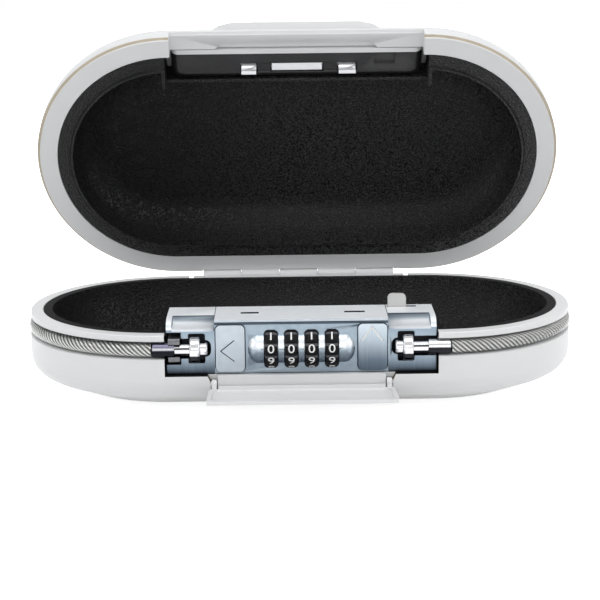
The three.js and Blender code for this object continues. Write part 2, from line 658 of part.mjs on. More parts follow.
// Dials: ten faces with a rounded notch between each pair, a sleeve inside and one common spindle
function makeDial(index) {
  const x = dialPlace(index);
  const corners = [];
  const step = (2 * Math.PI) / DIAL_DIGITS;
  const notchHalf = NOTCH_RADIUS / DIAL_RADIUS;
  const bottom = 1 - NOTCH_RADIUS / DIAL_RADIUS;
  for (let i = 0; i < DIAL_DIGITS; i += 1) {
    const middle = i * step;
    const edge = step / 2 - notchHalf;
    corners.push([1, middle - edge], [1, middle], [1, middle + edge], [bottom, middle + step / 2]);
  }
  return cut(dialForm(index, 0, corners), bar('x', SLEEVE_RADIUS + GAP, x - 9, x + 9, DIAL_Y, DIAL_Z, 16));
}

function makeSleeve(index) {
  const x = dialPlace(index);
  return cut(
    bar('x', SLEEVE_RADIUS, x - DIAL_WIDTH / 2, x + DIAL_WIDTH / 2, DIAL_Y, DIAL_Z, 16),
    bar('x', SPINDLE_RADIUS + GAP, x - 9, x + 9, DIAL_Y, DIAL_Z, 16),
  );
}

// Coil springs, each one unbroken wire; the least gap between turns is measured and printed
const WIRE_RADIUS = 0.3;
const DIAL_SPRING_RADIUS = SPINDLE_RADIUS + GAP + WIRE_RADIUS + 0.05;
const SPRING_POCKET_RADIUS = DIAL_SPRING_RADIUS + WIRE_RADIUS + GAP;
const DIAL_SPRING_START = dialPlace(DIAL_COUNT - 1) + DIAL_WIDTH / 2 + GAP;
const DIAL_SPRING_END = DIAL_SPRING_START + 5;
const BUTTON_SPRING_RADIUS = 2;

class Helix extends THREE.Curve {
  constructor(radius, length, turns) {
    super();
    this.radius = radius;
    this.length = length;
    this.turns = turns;
  }

  getPoint(t, target = new THREE.Vector3()) {
    const angle = 2 * Math.PI * this.turns * t;
    return target.set(this.length * t, this.radius * Math.cos(angle), this.radius * Math.sin(angle));
  }
}

function makeSpring(name, radius, length, turns) {
  const helix = new Helix(radius, length - 2 * WIRE_RADIUS, turns);
  const steps = turns * 8;
  const wire = new THREE.Shape();
  for (let i = 0; i < 5; i += 1) {
    const angle = (2 * Math.PI * i) / 5;
    const x = WIRE_RADIUS * Math.cos(angle);
    const y = WIRE_RADIUS * Math.sin(angle);
    if (i === 0) wire.moveTo(x, y);
    else wire.lineTo(x, y);
  }
  const geometry = new THREE.ExtrudeGeometry(wire, { steps, extrudePath: helix, bevelEnabled: false });
  geometry.translate(WIRE_RADIUS, 0, 0);
  let least = Infinity;
  for (let i = 0; i <= steps; i += 1) {
    for (let j = i + 6; j <= steps; j += 1) {
      least = Math.min(least, helix.getPoint(i / steps).distanceTo(helix.getPoint(j / steps)));
    }
  }
  console.log(`${name}: least gap between turns ${(least - 2 * WIRE_RADIUS).toFixed(2)} mm`);
  return geometry;
}

// Buttons: rounded pads with an engraved arrow and a stem that works the latch or the cable jaws
const LATCH_STEM = [BUTTON_X - 2.5, BUTTON_X + 0.9];
const STEM_Z = [BASE_HEIGHT - 2.8, BASE_HEIGHT - 0.6];
const STEM_HALF = 1.6;
const STEM_END = MECHANISM_Y + 2.7;
const ARM_BACK = MECHANISM_Y + 4.6;

function chevron(x, z, spread, height, pen, turned) {
  const arms = [-1, 1].map((side) => {
    const along = Math.hypot(spread, height);
    const stroke = new THREE.BoxGeometry(along + pen, ENGRAVING * 2, pen * 2);
    const tilt = Math.atan2(height, spread);
    stroke.translate(along / 2, 0, 0);
    stroke.rotateY(side > 0 ? tilt : Math.PI - tilt);
    stroke.rotateY(turned);
    stroke.translate(x, FACE_Y - BUTTON_PROUD, z);
    return toSolid(stroke);
  });
  return join(...arms);
}

function makeButton(side) {
  const x = side * BUTTON_X;
  const face = FACE_Y - BUTTON_PROUD;
  return roundedPad(x, BUTTON_Z, BUTTON_WIDTH, BUTTON_HEIGHT, BUTTON_CORNER, face, BUTTON_BACK);
}

function makeLatchButton() {
  const [x0, x1] = LATCH_STEM;
  const stem = alongZ([
    [x0, BUTTON_BACK - 1],
    [x1, BUTTON_BACK - 1],
    [x1, STEM_END - 3],
    [x1 - 3, STEM_END],
    [x0, STEM_END],
  ], ...STEM_Z);
  return cut(join(makeButton(1), stem), chevron(BUTTON_X - 0.2, BUTTON_Z + 8.3, 4.3, 5.6, 0.5, 0));
}

function makeCableButton() {
  const [x0, x1] = [-LATCH_STEM[1], -LATCH_STEM[0]];
  const stem = alongX([
    [BUTTON_BACK - 1, CABLE_Z - STEM_HALF],
    [STEM_END - STEM_HALF, CABLE_Z - STEM_HALF],
    [STEM_END, CABLE_Z],
    [STEM_END - STEM_HALF, CABLE_Z + STEM_HALF],
    [BUTTON_BACK - 1, CABLE_Z + STEM_HALF],
  ], x0, x1);
  return cut(join(makeButton(-1), stem), chevron(-BUTTON_X - 4, BUTTON_Z - 1, 4.4, 5.6, 0.2, -Math.PI / 2));
}

// Latch slide: a bar with two noses that catch the strikes, pushed aside by the right button
const SLIDE_Y = [MECHANISM_Y + 4.5, MECHANISM_Y + 7.3];
const SLIDE_Z = [BASE_HEIGHT - 0.2, HOUSING_TOP - 0.2];
const SLIDE_END = MECHANISM_HALF - BUTTON_TRAVEL - 0.5;
const NOSE_Z = [SLIDE_Z[1] - 1.2, SLIDE_Z[1]];
const NOSE_REACH = CATCH_DEPTH - 0.5;

function makeLatchSlide() {
  const noseFront = STRIKE_Y - STRIKE_THICKNESS / 2 - 0.2;
  const noses = [STRIKE_LEFT, STRIKE_RIGHT].map(([, edge]) => join(
    box(edge - NOSE_REACH, edge + 1, noseFront, STRIKE_Y + STRIKE_THICKNESS / 2 + 0.4, NOSE_Z[0], NOSE_Z[1]),
    box(edge + 0.5, edge + 3.5, noseFront, SLIDE_Y[0] + 1, NOSE_Z[0], NOSE_Z[1]),
  ));
  const beam = box(STRIKE_LEFT[1] + 0.5, SLIDE_END, SLIDE_Y[0], SLIDE_Y[1], SLIDE_Z[0], SLIDE_Z[1]);
  const faceX = (y) => LATCH_STEM[1] + 0.42 - (y - (STEM_END - 3));
  const lug = alongZ([
    [faceX(MECHANISM_Y + GAP), MECHANISM_Y + GAP],
    [SLIDE_END, MECHANISM_Y + GAP],
    [SLIDE_END, SLIDE_Y[0] + 0.2],
    [faceX(STEM_END), SLIDE_Y[0] + 0.2],
    [faceX(STEM_END), STEM_END],
  ], STEM_Z[0] - 0.4, SLIDE_Z[1]);
  const springPeg = box(2, 4, SLIDE_Y[0], SLIDE_Y[1], SLIDE_Z[0] - 4, SLIDE_Z[0] + 0.5);
  return join(beam, lug, springPeg, ...noses);
}

// Cable jaws: two forks over and under the neck, spread apart by the left button
function makeCableJaw(side) {
  const z = (height) => CABLE_Z + side * height;
  const outlineOf = (points) => (side > 0 ? points : [...points].reverse());
  const front = CABLE_Y - 2.4;
  const wedge = MECHANISM_Y + 0.4;
  const blade = alongX(outlineOf([
    [front, z(JAW_GAP - 0.9)],
    [front + 0.8, z(JAW_GAP - 0.35)],
    [front + 1.9, z(JAW_GAP)],
    [wedge + 0.2, z(JAW_GAP)],
    [wedge + 0.2, z(JAW_GAP + JAW_HEIGHT)],
    [front + 0.8, z(JAW_GAP + JAW_HEIGHT)],
    [front + 0.2, z(JAW_GAP + JAW_HEIGHT - 0.3)],
    [front, z(JAW_GAP + JAW_HEIGHT - 0.9)],
  ]), -JAW_X[1], -JAW_X[0]);
  const faceZ = (y) => STEM_HALF + 0.42 - (y - (STEM_END - STEM_HALF));
  const arm = alongX(outlineOf([
    [wedge, z(faceZ(wedge))],
    [STEM_END, z(faceZ(STEM_END))],
    [ARM_BACK, z(faceZ(STEM_END))],
    [ARM_BACK, z(ARM_HALF)],
    [wedge, z(ARM_HALF)],
  ]), -JAW_X[1], -LATCH_STEM[0]);
  return join(blade, arm);
}

// Reset tab: a small upright lever in the right wing
const TAB_X = CENTRE_HALF_WIDTH + 5;
const TAB_WIDTH = 7.8;
const TAB_THICKNESS = 1.8;
const TAB_Y = LOCK_BACK - 3.2;
const TAB_TRAVEL = 4;
const TAB_FOOT_Z = BASE_HEIGHT - 2.2;
const TAB_TOP = LOCK_TOP + 5.6;

function makeResetTab() {
  return roundedPad(
    TAB_X, (TAB_FOOT_Z + TAB_TOP) / 2, TAB_WIDTH, TAB_TOP - TAB_FOOT_Z, 1.9,
    TAB_Y - TAB_THICKNESS / 2, TAB_Y + TAB_THICKNESS / 2, 3,
  );
}

// Cable: laid round the back of the safe in the groove, from one end fitting to the other
class CableRoute extends THREE.Curve {
  constructor(radius, start) {
    super();
    this.radius = radius;
    this.firstAngle = Math.asin((start - STRAIGHT) / radius);
    this.arc = radius * (Math.PI - this.firstAngle);
    this.whole = 2 * this.arc + 2 * STRAIGHT;
  }

  getPoint(t, target = new THREE.Vector3()) {
    const run = t * this.whole;
    const mirrored = run > this.whole / 2;
    const along = mirrored ? this.whole - run : run;
    const side = mirrored ? 1 : -1;
    if (along < this.arc) {
      const angle = this.firstAngle + along / this.radius;
      const x = side * (STRAIGHT + this.radius * Math.sin(angle));
      return target.set(x, -this.radius * Math.cos(angle), CABLE_Z);
    }
    return target.set(side * (STRAIGHT - (along - this.arc)), this.radius, CABLE_Z);
  }
}

function makeCable() {
  const route = new CableRoute(-CABLE_Y, FERRULE_END + GAP);
  const section = new THREE.Shape();
  for (let i = 0; i < CABLE_SIDES; i += 1) {
    const angle = (2 * Math.PI * i) / CABLE_SIDES;
    const x = CABLE_RADIUS * Math.cos(angle);
    const y = CABLE_RADIUS * Math.sin(angle);
    if (i === 0) section.moveTo(x, y);
    else section.lineTo(x, y);
  }
  const options = { steps: CABLE_STEPS, extrudePath: route, bevelEnabled: false };
  return toSolid(new THREE.ExtrudeGeometry(section, options));
}

function makeCableEnd(side) {
  const rise = 0.4;
  const profile = [
    [0, TIP_START],
    [TIP_RADIUS - rise, TIP_START],
    [TIP_RADIUS, TIP_START + rise],
    [TIP_RADIUS, COLLAR_START],
    [COLLAR_RADIUS - rise, COLLAR_START],
    [COLLAR_RADIUS, COLLAR_START + rise],
    [COLLAR_RADIUS, NECK_START - rise],
    [COLLAR_RADIUS - rise, NECK_START],
    [NECK_RADIUS, NECK_START],
    [NECK_RADIUS, FERRULE_START],
    [FERRULE_RADIUS - rise, FERRULE_START],
    [FERRULE_RADIUS, FERRULE_START + rise],
    [FERRULE_RADIUS, FERRULE_END],
    [0, FERRULE_END],
  ];
  const lathe = new THREE.LatheGeometry(profile.map(([r, x]) => new THREE.Vector2(r, x)), 16);
  lathe.rotateZ(-Math.PI / 2);
  if (side < 0) lathe.rotateZ(Math.PI);
  lathe.translate(0, CABLE_Y, CABLE_Z);
  return toSolid(lathe);
}

// Door: a shallow tray with rounded corners on two arms that reach back to pins in the base
function makeDoor() {
  const height = DOOR_TOP - DOOR_BOTTOM;
  const middle = (DOOR_TOP + DOOR_BOTTOM) / 2;
  const high = DOOR_TOP + 1;
  const bow = [
    [0.8, DOOR_BOTTOM], [0.3, DOOR_BOTTOM + 3.4], [0, DOOR_BOTTOM + 8.7],
    [0, DOOR_TOP - 10], [0.4, DOOR_TOP - 5], [1.4, high],
  ];
  const front = bow.map(([back, z]) => [DOOR_FRONT + back, z]);
  const heel = (y) => DOOR_BOTTOM + 0.44 * (y - DOOR_FRONT);
  const rear = [FRONT - 0.4, DOOR_FRONT + 0.8].map((y) => [y, heel(y)]);
  const pad = roundedPad(0, middle, 2 * DOOR_HALF_WIDTH, height, DOOR_CORNER, FRONT - 20, FRONT + 5, 6);
  const plate = pad.intersect(alongX([...front, [FRONT - 0.4, high], ...rear].reverse(), -FAR, FAR));
  const lip = DOOR_THICKNESS;
  const lipTop = DOOR_BOTTOM + 3;
  const recess = roundedPad(
    0, (DOOR_TOP - lip + lipTop) / 2, 2 * (DOOR_HALF_WIDTH - lip), DOOR_TOP - lip - lipTop, DOOR_CORNER - lip,
    FRONT - 20, FRONT + 5, 6,
  );
  const inside = bow.map(([back, z]) => [DOOR_FRONT + lip + back * 0.6, z]);
  const behind = [[FRONT + 9, high], [FRONT + 9, DOOR_BOTTOM]];
  const hollow = recess.intersect(alongX([...inside, ...behind].reverse(), -FAR, FAR));
  const rootLip = alongX([
    [DOOR_LIP_Y, lipTop],
    [DOOR_BACK, lipTop],
    [DOOR_BACK, heel(DOOR_BACK)],
    [DOOR_LIP_Y, heel(DOOR_LIP_Y)],
  ], 2 * GAP - ARM_START, ARM_START - 2 * GAP);
  const arms = [];
  for (const side of [-1, 1]) {
    const x0 = side < 0 ? -ARM_START - ARM_WIDTH : ARM_START;
    const x1 = x0 + ARM_WIDTH;
    arms.push(alongX([
      [DOOR_BACK - 0.6, heel(DOOR_BACK - 0.6)],
      [DOOR_PIVOT_Y - 1, DOOR_PIVOT_Z - 1.5],
      [DOOR_PIVOT_Y, DOOR_PIVOT_Z + 1.8],
      [DOOR_BACK - 0.6, DOOR_BOTTOM + 2.8],
    ], x0, x1));
    arms.push(bar('x', 1.9, x0, x1, DOOR_PIVOT_Y, DOOR_PIVOT_Z, 16));
  }
  const bore = bar('x', DOOR_PIN_RADIUS + GAP, -FAR, FAR, DOOR_PIVOT_Y, DOOR_PIVOT_Z, 12);
  return cut(join(cut(plate, hollow), rootLip, ...arms), bore);
}

function makeDoorPin(side) {
  const [start, end] = doorPinEnds(side, 0);
  return bar('x', DOOR_PIN_RADIUS, start, end, DOOR_PIVOT_Y, DOOR_PIVOT_Z, 12);
}

// Lid shell: hollow behind its rim, with a notch over the lock, a ledge behind it and the hood
function makeHood() {
  const above = ([out, rise]) => [out, DOOR_TOP + rise];
  const crest = [[2, 0.4], [1.6, 1.9], [0.1, 3.2], [-3.9, 4.8], [-9.9, 6.6], [-17.9, 8.9]].map(above);
  const root = [[-2.4, 0.4], [-3, 1.3], [-3.8, 2], [-6.5, 3.4], [-11, 5.2], [-17.9, 7.7]].map(above);
  const rings = [];
  const stations = [[0, 0.3], [3, 0.7], [HOOD_SHOULDER, 1]].map(([x, rise]) => [x - HOOD_HALF_WIDTH, rise]);
  const mirrored = stations.map(([x, rise]) => [-x, rise]).reverse();
  for (const [x, rise] of [...stations, ...mirrored]) {
    const top = crest.map(([out, z], i) => {
      const y = FRONT - THREE.MathUtils.lerp(root[i][0], out, rise);
      return new THREE.Vector3(x, y, THREE.MathUtils.lerp(root[i][1], z, rise));
    });
    const under = root.map(([out, z]) => new THREE.Vector3(x, FRONT - out + 0.5, z - 0.5)).reverse();
    rings.push([...top, ...under].reverse());
  }
  return skin(rings, ['y', 'z']);
}

// Cove under the hood: the ledge sweeps up towards the latch moulding and runs out at both ends
function makeCove() {
  const back = MOULDING_FRONT + 0.5;
  const rings = [];
  const stations = [[-36.4, 0.12], [-35.2, 0.5], [-33.4, 0.84], [-31, 1]];
  const mirrored = stations.map(([x, share]) => [-x, share]).reverse();
  for (const [x, share] of [...stations, ...mirrored]) {
    const y = (part) => back - 4.4 * share * part;
    const points = [
      [y(1), NOTCH_TOP - 2], [back, NOTCH_TOP - 2], [back, NOTCH_TOP + 1.9], [y(0.3), NOTCH_TOP + 1.7],
      [y(0.6), NOTCH_TOP + 1.2], [y(0.85), NOTCH_TOP + 0.6], [y(1), NOTCH_TOP - 0.1],
    ];
    rings.push(points.map(([py, pz]) => new THREE.Vector3(x * CENTRE_HALF_WIDTH / 36, py, pz)));
  }
  return skin(rings, ['y', 'z']);
}

function makeLidShell() {
  const body = loft([
    [RIM_STEP, LID_BOTTOM],
    [RIM_STEP, LID_BOTTOM + 1.1],
    [0, LID_BOTTOM + 1.4],
    ...fromTop(),
  ]);
  const hollow = loft([[WALL, LID_BOTTOM + RIM_THICKNESS], ...fromTop(WALL)]);
  const mouth = loft([[LID_RIM_WIDTH, 0], [LID_RIM_WIDTH, LID_BOTTOM + RIM_THICKNESS + 0.5]]);
  const notch = box(-OPENING_HALF, OPENING_HALF, -FAR, LID_BAY_Y, 0, NOTCH_TOP);
  const step = box(-OPENING_HALF, OPENING_HALF, -FAR, FRONT + RIM_STEP, 0, NOTCH_TOP + 0.9);
  const ledge = box(
    -OPENING_HALF, OPENING_HALF, FRONT + WALL / 2, MOULDING_FRONT - GAP, NOTCH_TOP, NOTCH_TOP + 3.2,
  );
  const cheeks = [-1, 1].map((side) => {
    const x0 = side < 0 ? -OPENING_HALF - 2 : OPENING_HALF;
    return box(x0, x0 + 2, FRONT + WALL / 2 + 0.4, FRONT + LID_RIM_WIDTH, LID_BOTTOM, NOTCH_TOP + 2);
  });
  const bossEnds = [STRIKE_PLATE_TOP + GAP, HEIGHT - 6.5];
  const holeEnds = [BASE_HEIGHT + 3.8, HEIGHT - 7.6];
  const bosses = STRIKE_SCREWS.map((x) => bar('z', 2.6, ...bossEnds, x, STRIKE_Y, 14));
  let knuckles = knuckle(1, lidArm);
  for (let i = 3; i < KNUCKLES; i += 2) knuckles = knuckles.add(knuckle(i, lidArm));
  const shell = cut(body, hollow, mouth, notch, hingeRelief);
  const fitted = cut(join(shell, ledge, ...cheeks, ...bosses, knuckles), step, makeCove());
  const screwHoles = STRIKE_SCREWS.map((x) => bar('z', 1.4, ...holeEnds, x, STRIKE_Y, 10));
  return cut(join(fitted, makeHood()), hingeBore, ...screwHoles);
}

// Lid liner: a smooth ring inside the rim, a bead and a thin tub, stepped around the latch moulding
function makeLidLiner() {
  const ringOuter = LID_RIM_WIDTH + GAP;
  const mouth = ringOuter + RING_WIDTH + LINER_WALL;
  const clearance = WALL + GAP;
  const bay = box(-OPENING_HALF - 2.4, OPENING_HALF + 2.4, -FAR, LID_BAY_Y, 0, FAR);
  const grown = OPENING_HALF + 2.4 + LINER_WALL;
  const grownBay = box(-grown, grown, -FAR, LID_BAY_Y + LINER_WALL, 0, FAR);
  const solid = join(
    loft([[ringOuter, LID_BOTTOM], [ringOuter, LID_BOTTOM + 1.5]]),
    loft([[mouth - LINER_WALL, LID_BOTTOM], ...fromTop(clearance, mouth - LINER_WALL)]),
    loft([[mouth - 0.8, LID_BOTTOM - 0.8], [mouth - 1.5, LID_BOTTOM - 0.2], [mouth - 1.5, LID_BOTTOM + 0.5]]),
  );
  const hollow = loft([[mouth, 0], ...fromTop(clearance + LINER_WALL, mouth)]);
  const overLock = box(-OPENING_HALF - 2.4, OPENING_HALF + 2.4, -FAR, BAY_Y, 0, NOTCH_TOP);
  return cut(solid, bay, overLock, cut(hollow, grownBay), hingeRelief);
}

// Latch moulding with windows onto the strike plate, and the plate itself
const STRIKE_SCREWS = [6 - CENTRE_HALF_WIDTH, CENTRE_HALF_WIDTH - 6];
const WINDOWS = [STRIKE_LEFT, STRIKE_PAD, STRIKE_RIGHT];
const STRIKE_PLATE_LOW = NOTCH_TOP + MOULDING_HEIGHT + GAP;
const STRIKE_PLATE_TOP = STRIKE_PLATE_LOW + 1.2;

function makeLatchMoulding() {
  const ring = (inset, z) => {
    const half = OPENING_HALF - GAP - inset;
    const back = MOULDING_BACK - inset;
    const corner = 4.4 - inset * 0.3;
    const points = [[-half, MOULDING_FRONT], [half, MOULDING_FRONT]];
    for (const side of [1, -1]) {
      for (let i = 0; i <= 4; i += 1) {
        const angle = (Math.PI / 2) * (side > 0 ? i / 4 : 1 - i / 4);
        const x = half - corner + corner * Math.cos(angle);
        points.push([side * x, back - corner + corner * Math.sin(angle)]);
      }
    }
    return points.map(([x, y]) => new THREE.Vector3(x, y, z));
  };
  const body = skin([
    ring(MOULDING_SKIRT, NOTCH_TOP),
    ring(0.9, NOTCH_TOP + 1.4),
    ring(0, NOTCH_TOP + 3),
    ring(0, NOTCH_TOP + MOULDING_HEIGHT),
  ], ['x', 'y']);
  const windowHalf = STRIKE_LENGTH / 2;
  const windows = WINDOWS.map(([x0, x1]) => box(
    x0 - 0.6, x1 + 0.6, STRIKE_Y - windowHalf, STRIKE_Y + windowHalf, 0, FAR,
  ));
  const channel = box(
    STRIKE_LEFT[0] - 0.6, STRIKE_RIGHT[1] + 0.6, STRIKE_Y - windowHalf, STRIKE_Y + windowHalf - 0.6,
    0, NOTCH_TOP + 0.7,
  );
  const heads = STRIKE_SCREWS.map((x) => bar('z', 2.8, STRIKE_PLATE_LOW - 2, FAR, x, STRIKE_Y, 14));
  const notch = box(
    TAB_X - 6.2, TAB_X + 3.2, MOULDING_FRONT + 2.6, MOULDING_FRONT + 8, 0, NOTCH_TOP + 1.8,
  );
  return cut(body, ...windows, channel, ...heads, notch);
}

function makeStrikePlate() {
  const plate = box(
    2 - CENTRE_HALF_WIDTH, CENTRE_HALF_WIDTH - 2,
    MOULDING_FRONT + 1.2, MOULDING_BACK - 1.2, STRIKE_PLATE_LOW, STRIKE_PLATE_TOP,
  );
  const tongues = [STRIKE_LEFT, STRIKE_RIGHT].map(([x0, x1]) => cut(
    box(
      x0, x1, STRIKE_Y - STRIKE_THICKNESS / 2, STRIKE_Y + STRIKE_THICKNESS / 2,
      BASE_HEIGHT + 0.8, STRIKE_PLATE_LOW + 0.5,
    ),
    box(x1 - CATCH_DEPTH, x1 + 1, STRIKE_Y - 3, STRIKE_Y + 3, NOSE_Z[0] - 0.3, NOSE_Z[1] + 0.4),
  ));
  const padHalf = STRIKE_LENGTH / 2 - GAP;
  const pads = WINDOWS.map(([x0, x1]) => box(
    x0, x1, STRIKE_Y - padHalf, STRIKE_Y + padHalf, NOTCH_TOP + 1.1, STRIKE_PLATE_LOW + 0.5,
  ));
  const holes = STRIKE_SCREWS.map((x) => bar('z', 1.4, BASE_HEIGHT + 3.8, FAR, x, STRIKE_Y, 10));
  return cut(join(plate, ...pads, ...tongues), ...holes);
}

function makeStrikeScrew(x) {
  return join(
    bar('z', 1.1, STRIKE_PLATE_LOW - 1, HEIGHT - 8, x, STRIKE_Y, 10),
    bar('z', 2.2, STRIKE_PLATE_LOW - GAP - 1.2, STRIKE_PLATE_LOW - GAP, x, STRIKE_Y, 14),
  );
}

// Assembly: the base and everything fixed in it
addPiece('base_shell', 'whiteShell', makeBaseShell());
addPiece('base_liner', 'blackLiner', makeBaseLiner());
addPiece('lock_housing', 'zincCasting', makeLockHousing());
addPiece('lock_top_plate', 'zincCasting', makeTopPlate());
addPiece('lock_back_plate', 'steel', makeBackPlate());
SCREW_PLACES.forEach((place, i) => addPiece(`lock_screw_${i + 1}`, 'steel', makeLockScrew(place)));
addPiece('cable_rope', 'coatedCable', makeCable());
addPiece('cable_end_left', 'chrome', makeCableEnd(-1));
addPiece('cable_end_right', 'chrome', makeCableEnd(1));
const pinEnd = HINGE_HALF_LENGTH - 0.5;
addPiece('lid_hinge_pin', 'steel', bar('x', HINGE_PIN_RADIUS, -pinEnd, pinEnd, HINGE_Y, HINGE_Z, 14));
addPiece('door_pin_left', 'steel', makeDoorPin(-1));
addPiece('door_pin_right', 'steel', makeDoorPin(1));
const spindleStart = -BUTTON_X + BUTTON_WIDTH / 2 + 2 * GAP + 1;
addPiece('dial_spindle', 'steel', bar(
  'x', SPINDLE_RADIUS, spindleStart, BUTTON_X - BUTTON_WIDTH / 2 - 2 * GAP - 0.2, DIAL_Y, DIAL_Z,
));
const dialSpring = makeSpring(
  'dial_spring', DIAL_SPRING_RADIUS, DIAL_SPRING_END - DIAL_SPRING_START, 4,
);
dialSpring.translate(DIAL_SPRING_START, DIAL_Y, DIAL_Z);
addPiece('dial_spring', 'steel', toSolid(dialSpring));

// Dials with their sleeves
for (let i = 0; i < DIAL_COUNT; i += 1) {
  addPiece(`dial_${i + 1}`, 'dialBlack', makeDial(i));
  addPiece(`dial_sleeve_${i + 1}`, 'brass', makeSleeve(i));
}

// Buttons, springs, latch slide, cable jaws and reset tab
addPiece('latch_button', 'zincCasting', makeLatchButton());
addPiece('cable_button', 'zincCasting', makeCableButton());
for (const [name, side, z] of [
  ['latch_button_spring', 1, BASE_HEIGHT - 10.2],
  ['cable_button_spring', -1, BASE_HEIGHT - 0.8],
]) {
  const spring = makeSpring(name, BUTTON_SPRING_RADIUS, BUTTON_POCKET_BACK - BUTTON_BACK - 2 * GAP, 4);
  spring.rotateZ(Math.PI / 2);
  spring.translate(side * BUTTON_X, BUTTON_BACK + GAP, z);
  addPiece(name, 'steel', toSolid(spring));
}
addPiece('latch_slide', 'steel', makeLatchSlide());
addPiece('cable_jaw_upper', 'steel', makeCableJaw(1));
addPiece('cable_jaw_lower', 'steel', makeCableJaw(-1));
addPiece('reset_tab', 'greyPlastic', makeResetTab());

// Door, folded down
openDoor(addPiece('door', 'whiteShell', makeDoor()));

// Lid, raised
openLid(addPiece('lid_shell', 'whiteShell', makeLidShell()));
openLid(addPiece('lid_liner', 'blackLiner', makeLidLiner()));
openLid(addPiece('latch_moulding', 'blackPlastic', makeLatchMoulding()));
openLid(addPiece('strike_plate', 'steel', makeStrikePlate()));
openLid(addPiece('strike_screw_left', 'steel', makeStrikeScrew(STRIKE_SCREWS[0])));
openLid(addPiece('strike_screw_right', 'steel', makeStrikeScrew(STRIKE_SCREWS[1])));

export default safe;
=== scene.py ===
# %% [markdown]
# # A portable car safe, dressed for its portrait
#
# The solids of the safe come ready made from the CAD model: two plastic shells, a cast lock,
# dials, buttons, a door and a cable. This notebook gives them their surfaces: satin plastic,
# grained liners, cast zinc, chrome, a twisted cable under clear vinyl, and printed figures.
# Nothing here changes a size. Every piece stays where the CAD model put it.

import math

import bmesh
import bpy
import numpy as np
from mathutils import Matrix, Vector
from mathutils.bvhtree import BVHTree
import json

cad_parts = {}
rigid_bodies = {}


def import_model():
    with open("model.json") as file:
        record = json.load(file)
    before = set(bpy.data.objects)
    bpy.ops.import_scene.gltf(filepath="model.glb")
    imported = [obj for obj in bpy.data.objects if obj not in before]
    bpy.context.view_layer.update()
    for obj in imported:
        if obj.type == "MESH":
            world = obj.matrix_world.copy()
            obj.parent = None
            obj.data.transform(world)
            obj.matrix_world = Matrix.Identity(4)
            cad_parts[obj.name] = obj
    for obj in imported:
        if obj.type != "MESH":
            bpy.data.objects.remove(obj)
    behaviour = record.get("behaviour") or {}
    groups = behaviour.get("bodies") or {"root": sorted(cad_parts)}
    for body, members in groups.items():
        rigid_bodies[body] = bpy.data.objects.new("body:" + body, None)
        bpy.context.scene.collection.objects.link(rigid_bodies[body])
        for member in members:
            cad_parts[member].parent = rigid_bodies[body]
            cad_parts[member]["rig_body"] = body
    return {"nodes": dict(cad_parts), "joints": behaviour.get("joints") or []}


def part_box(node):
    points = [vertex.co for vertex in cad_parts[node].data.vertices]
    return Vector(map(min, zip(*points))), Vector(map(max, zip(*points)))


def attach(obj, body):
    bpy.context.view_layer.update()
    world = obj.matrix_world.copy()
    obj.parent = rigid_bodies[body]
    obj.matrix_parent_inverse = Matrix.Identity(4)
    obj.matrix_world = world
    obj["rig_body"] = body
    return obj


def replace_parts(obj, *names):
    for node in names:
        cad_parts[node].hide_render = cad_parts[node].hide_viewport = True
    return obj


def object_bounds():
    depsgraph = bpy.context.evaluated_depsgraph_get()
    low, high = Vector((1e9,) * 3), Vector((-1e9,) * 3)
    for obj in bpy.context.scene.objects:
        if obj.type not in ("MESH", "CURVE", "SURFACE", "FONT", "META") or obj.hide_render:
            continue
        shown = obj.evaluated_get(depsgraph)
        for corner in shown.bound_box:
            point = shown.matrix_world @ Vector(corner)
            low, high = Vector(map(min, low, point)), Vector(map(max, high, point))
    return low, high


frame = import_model()
cad_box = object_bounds()
MM = 0.001
print("CAD box in mm:", [[round(v / MM, 1) for v in corner] for corner in cad_box])

# %% [markdown]
# ## The camera
#
# The photograph was taken from straight in front, a little above. A few degrees more or less
# would change how much of the lock's top plate shows, so the camera was fitted to points of the
# outline: its distance, height, tilt and focal length come from that fit, not from the eye.

# %% Camera
CAMERA_DISTANCE = 0.7508
CAMERA_ELEVATION = math.radians(12.34)
CAMERA_AZIMUTH = math.radians(-0.48)
CAMERA_ROLL = math.radians(-0.65)
AIM = Vector((0.0001, 0.0, 0.0370))
FOCAL_PIXELS = 1677.7
PICTURE_PIXELS = 600

toward_camera = Vector((
    math.sin(CAMERA_AZIMUTH) * math.cos(CAMERA_ELEVATION),
    -math.cos(CAMERA_AZIMUTH) * math.cos(CAMERA_ELEVATION),
    math.sin(CAMERA_ELEVATION),
))
camera_data = bpy.data.cameras.new("portrait_camera")
camera_data.sensor_width = 36.0
camera_data.lens = FOCAL_PIXELS / PICTURE_PIXELS * camera_data.sensor_width
camera = bpy.data.objects.new("portrait_camera", camera_data)
bpy.context.scene.collection.objects.link(camera)
camera.location = AIM + toward_camera * CAMERA_DISTANCE
turn = toward_camera.to_track_quat("Z", "Y").to_matrix().to_4x4()
camera.matrix_world = (
    Matrix.Translation(camera.location) @ turn @ Matrix.Rotation(CAMERA_ROLL, 4, "Z")
)
bpy.context.scene.camera = camera
print("camera lens in mm:", round(camera_data.lens, 1))

# %% [markdown]
# ## Helpers for materials
#
# A material is a small network. `put` adds one node with its settings and `wire` joins two
# sockets. `reckon`, `rescale` and `blend` each add a node that is fed by other sockets and hand
# back its result. They keep the recipes below short enough to read like a list of ingredients.

# %% Node helpers
def put(tree, kind, settings=None, **values):
    node = tree.nodes.new(kind)
    for name, value in (settings or {}).items():
        setattr(node, name, value)
    for name, value in values.items():
        node.inputs[name.replace("_", " ")].default_value = value
    return node


def wire(tree, source, target):
    tree.links.new(source, target)


def object_place(tree):
    """Where a point of the surface lies, in metres."""
    return put(tree, "ShaderNodeTexCoord").outputs["Object"]


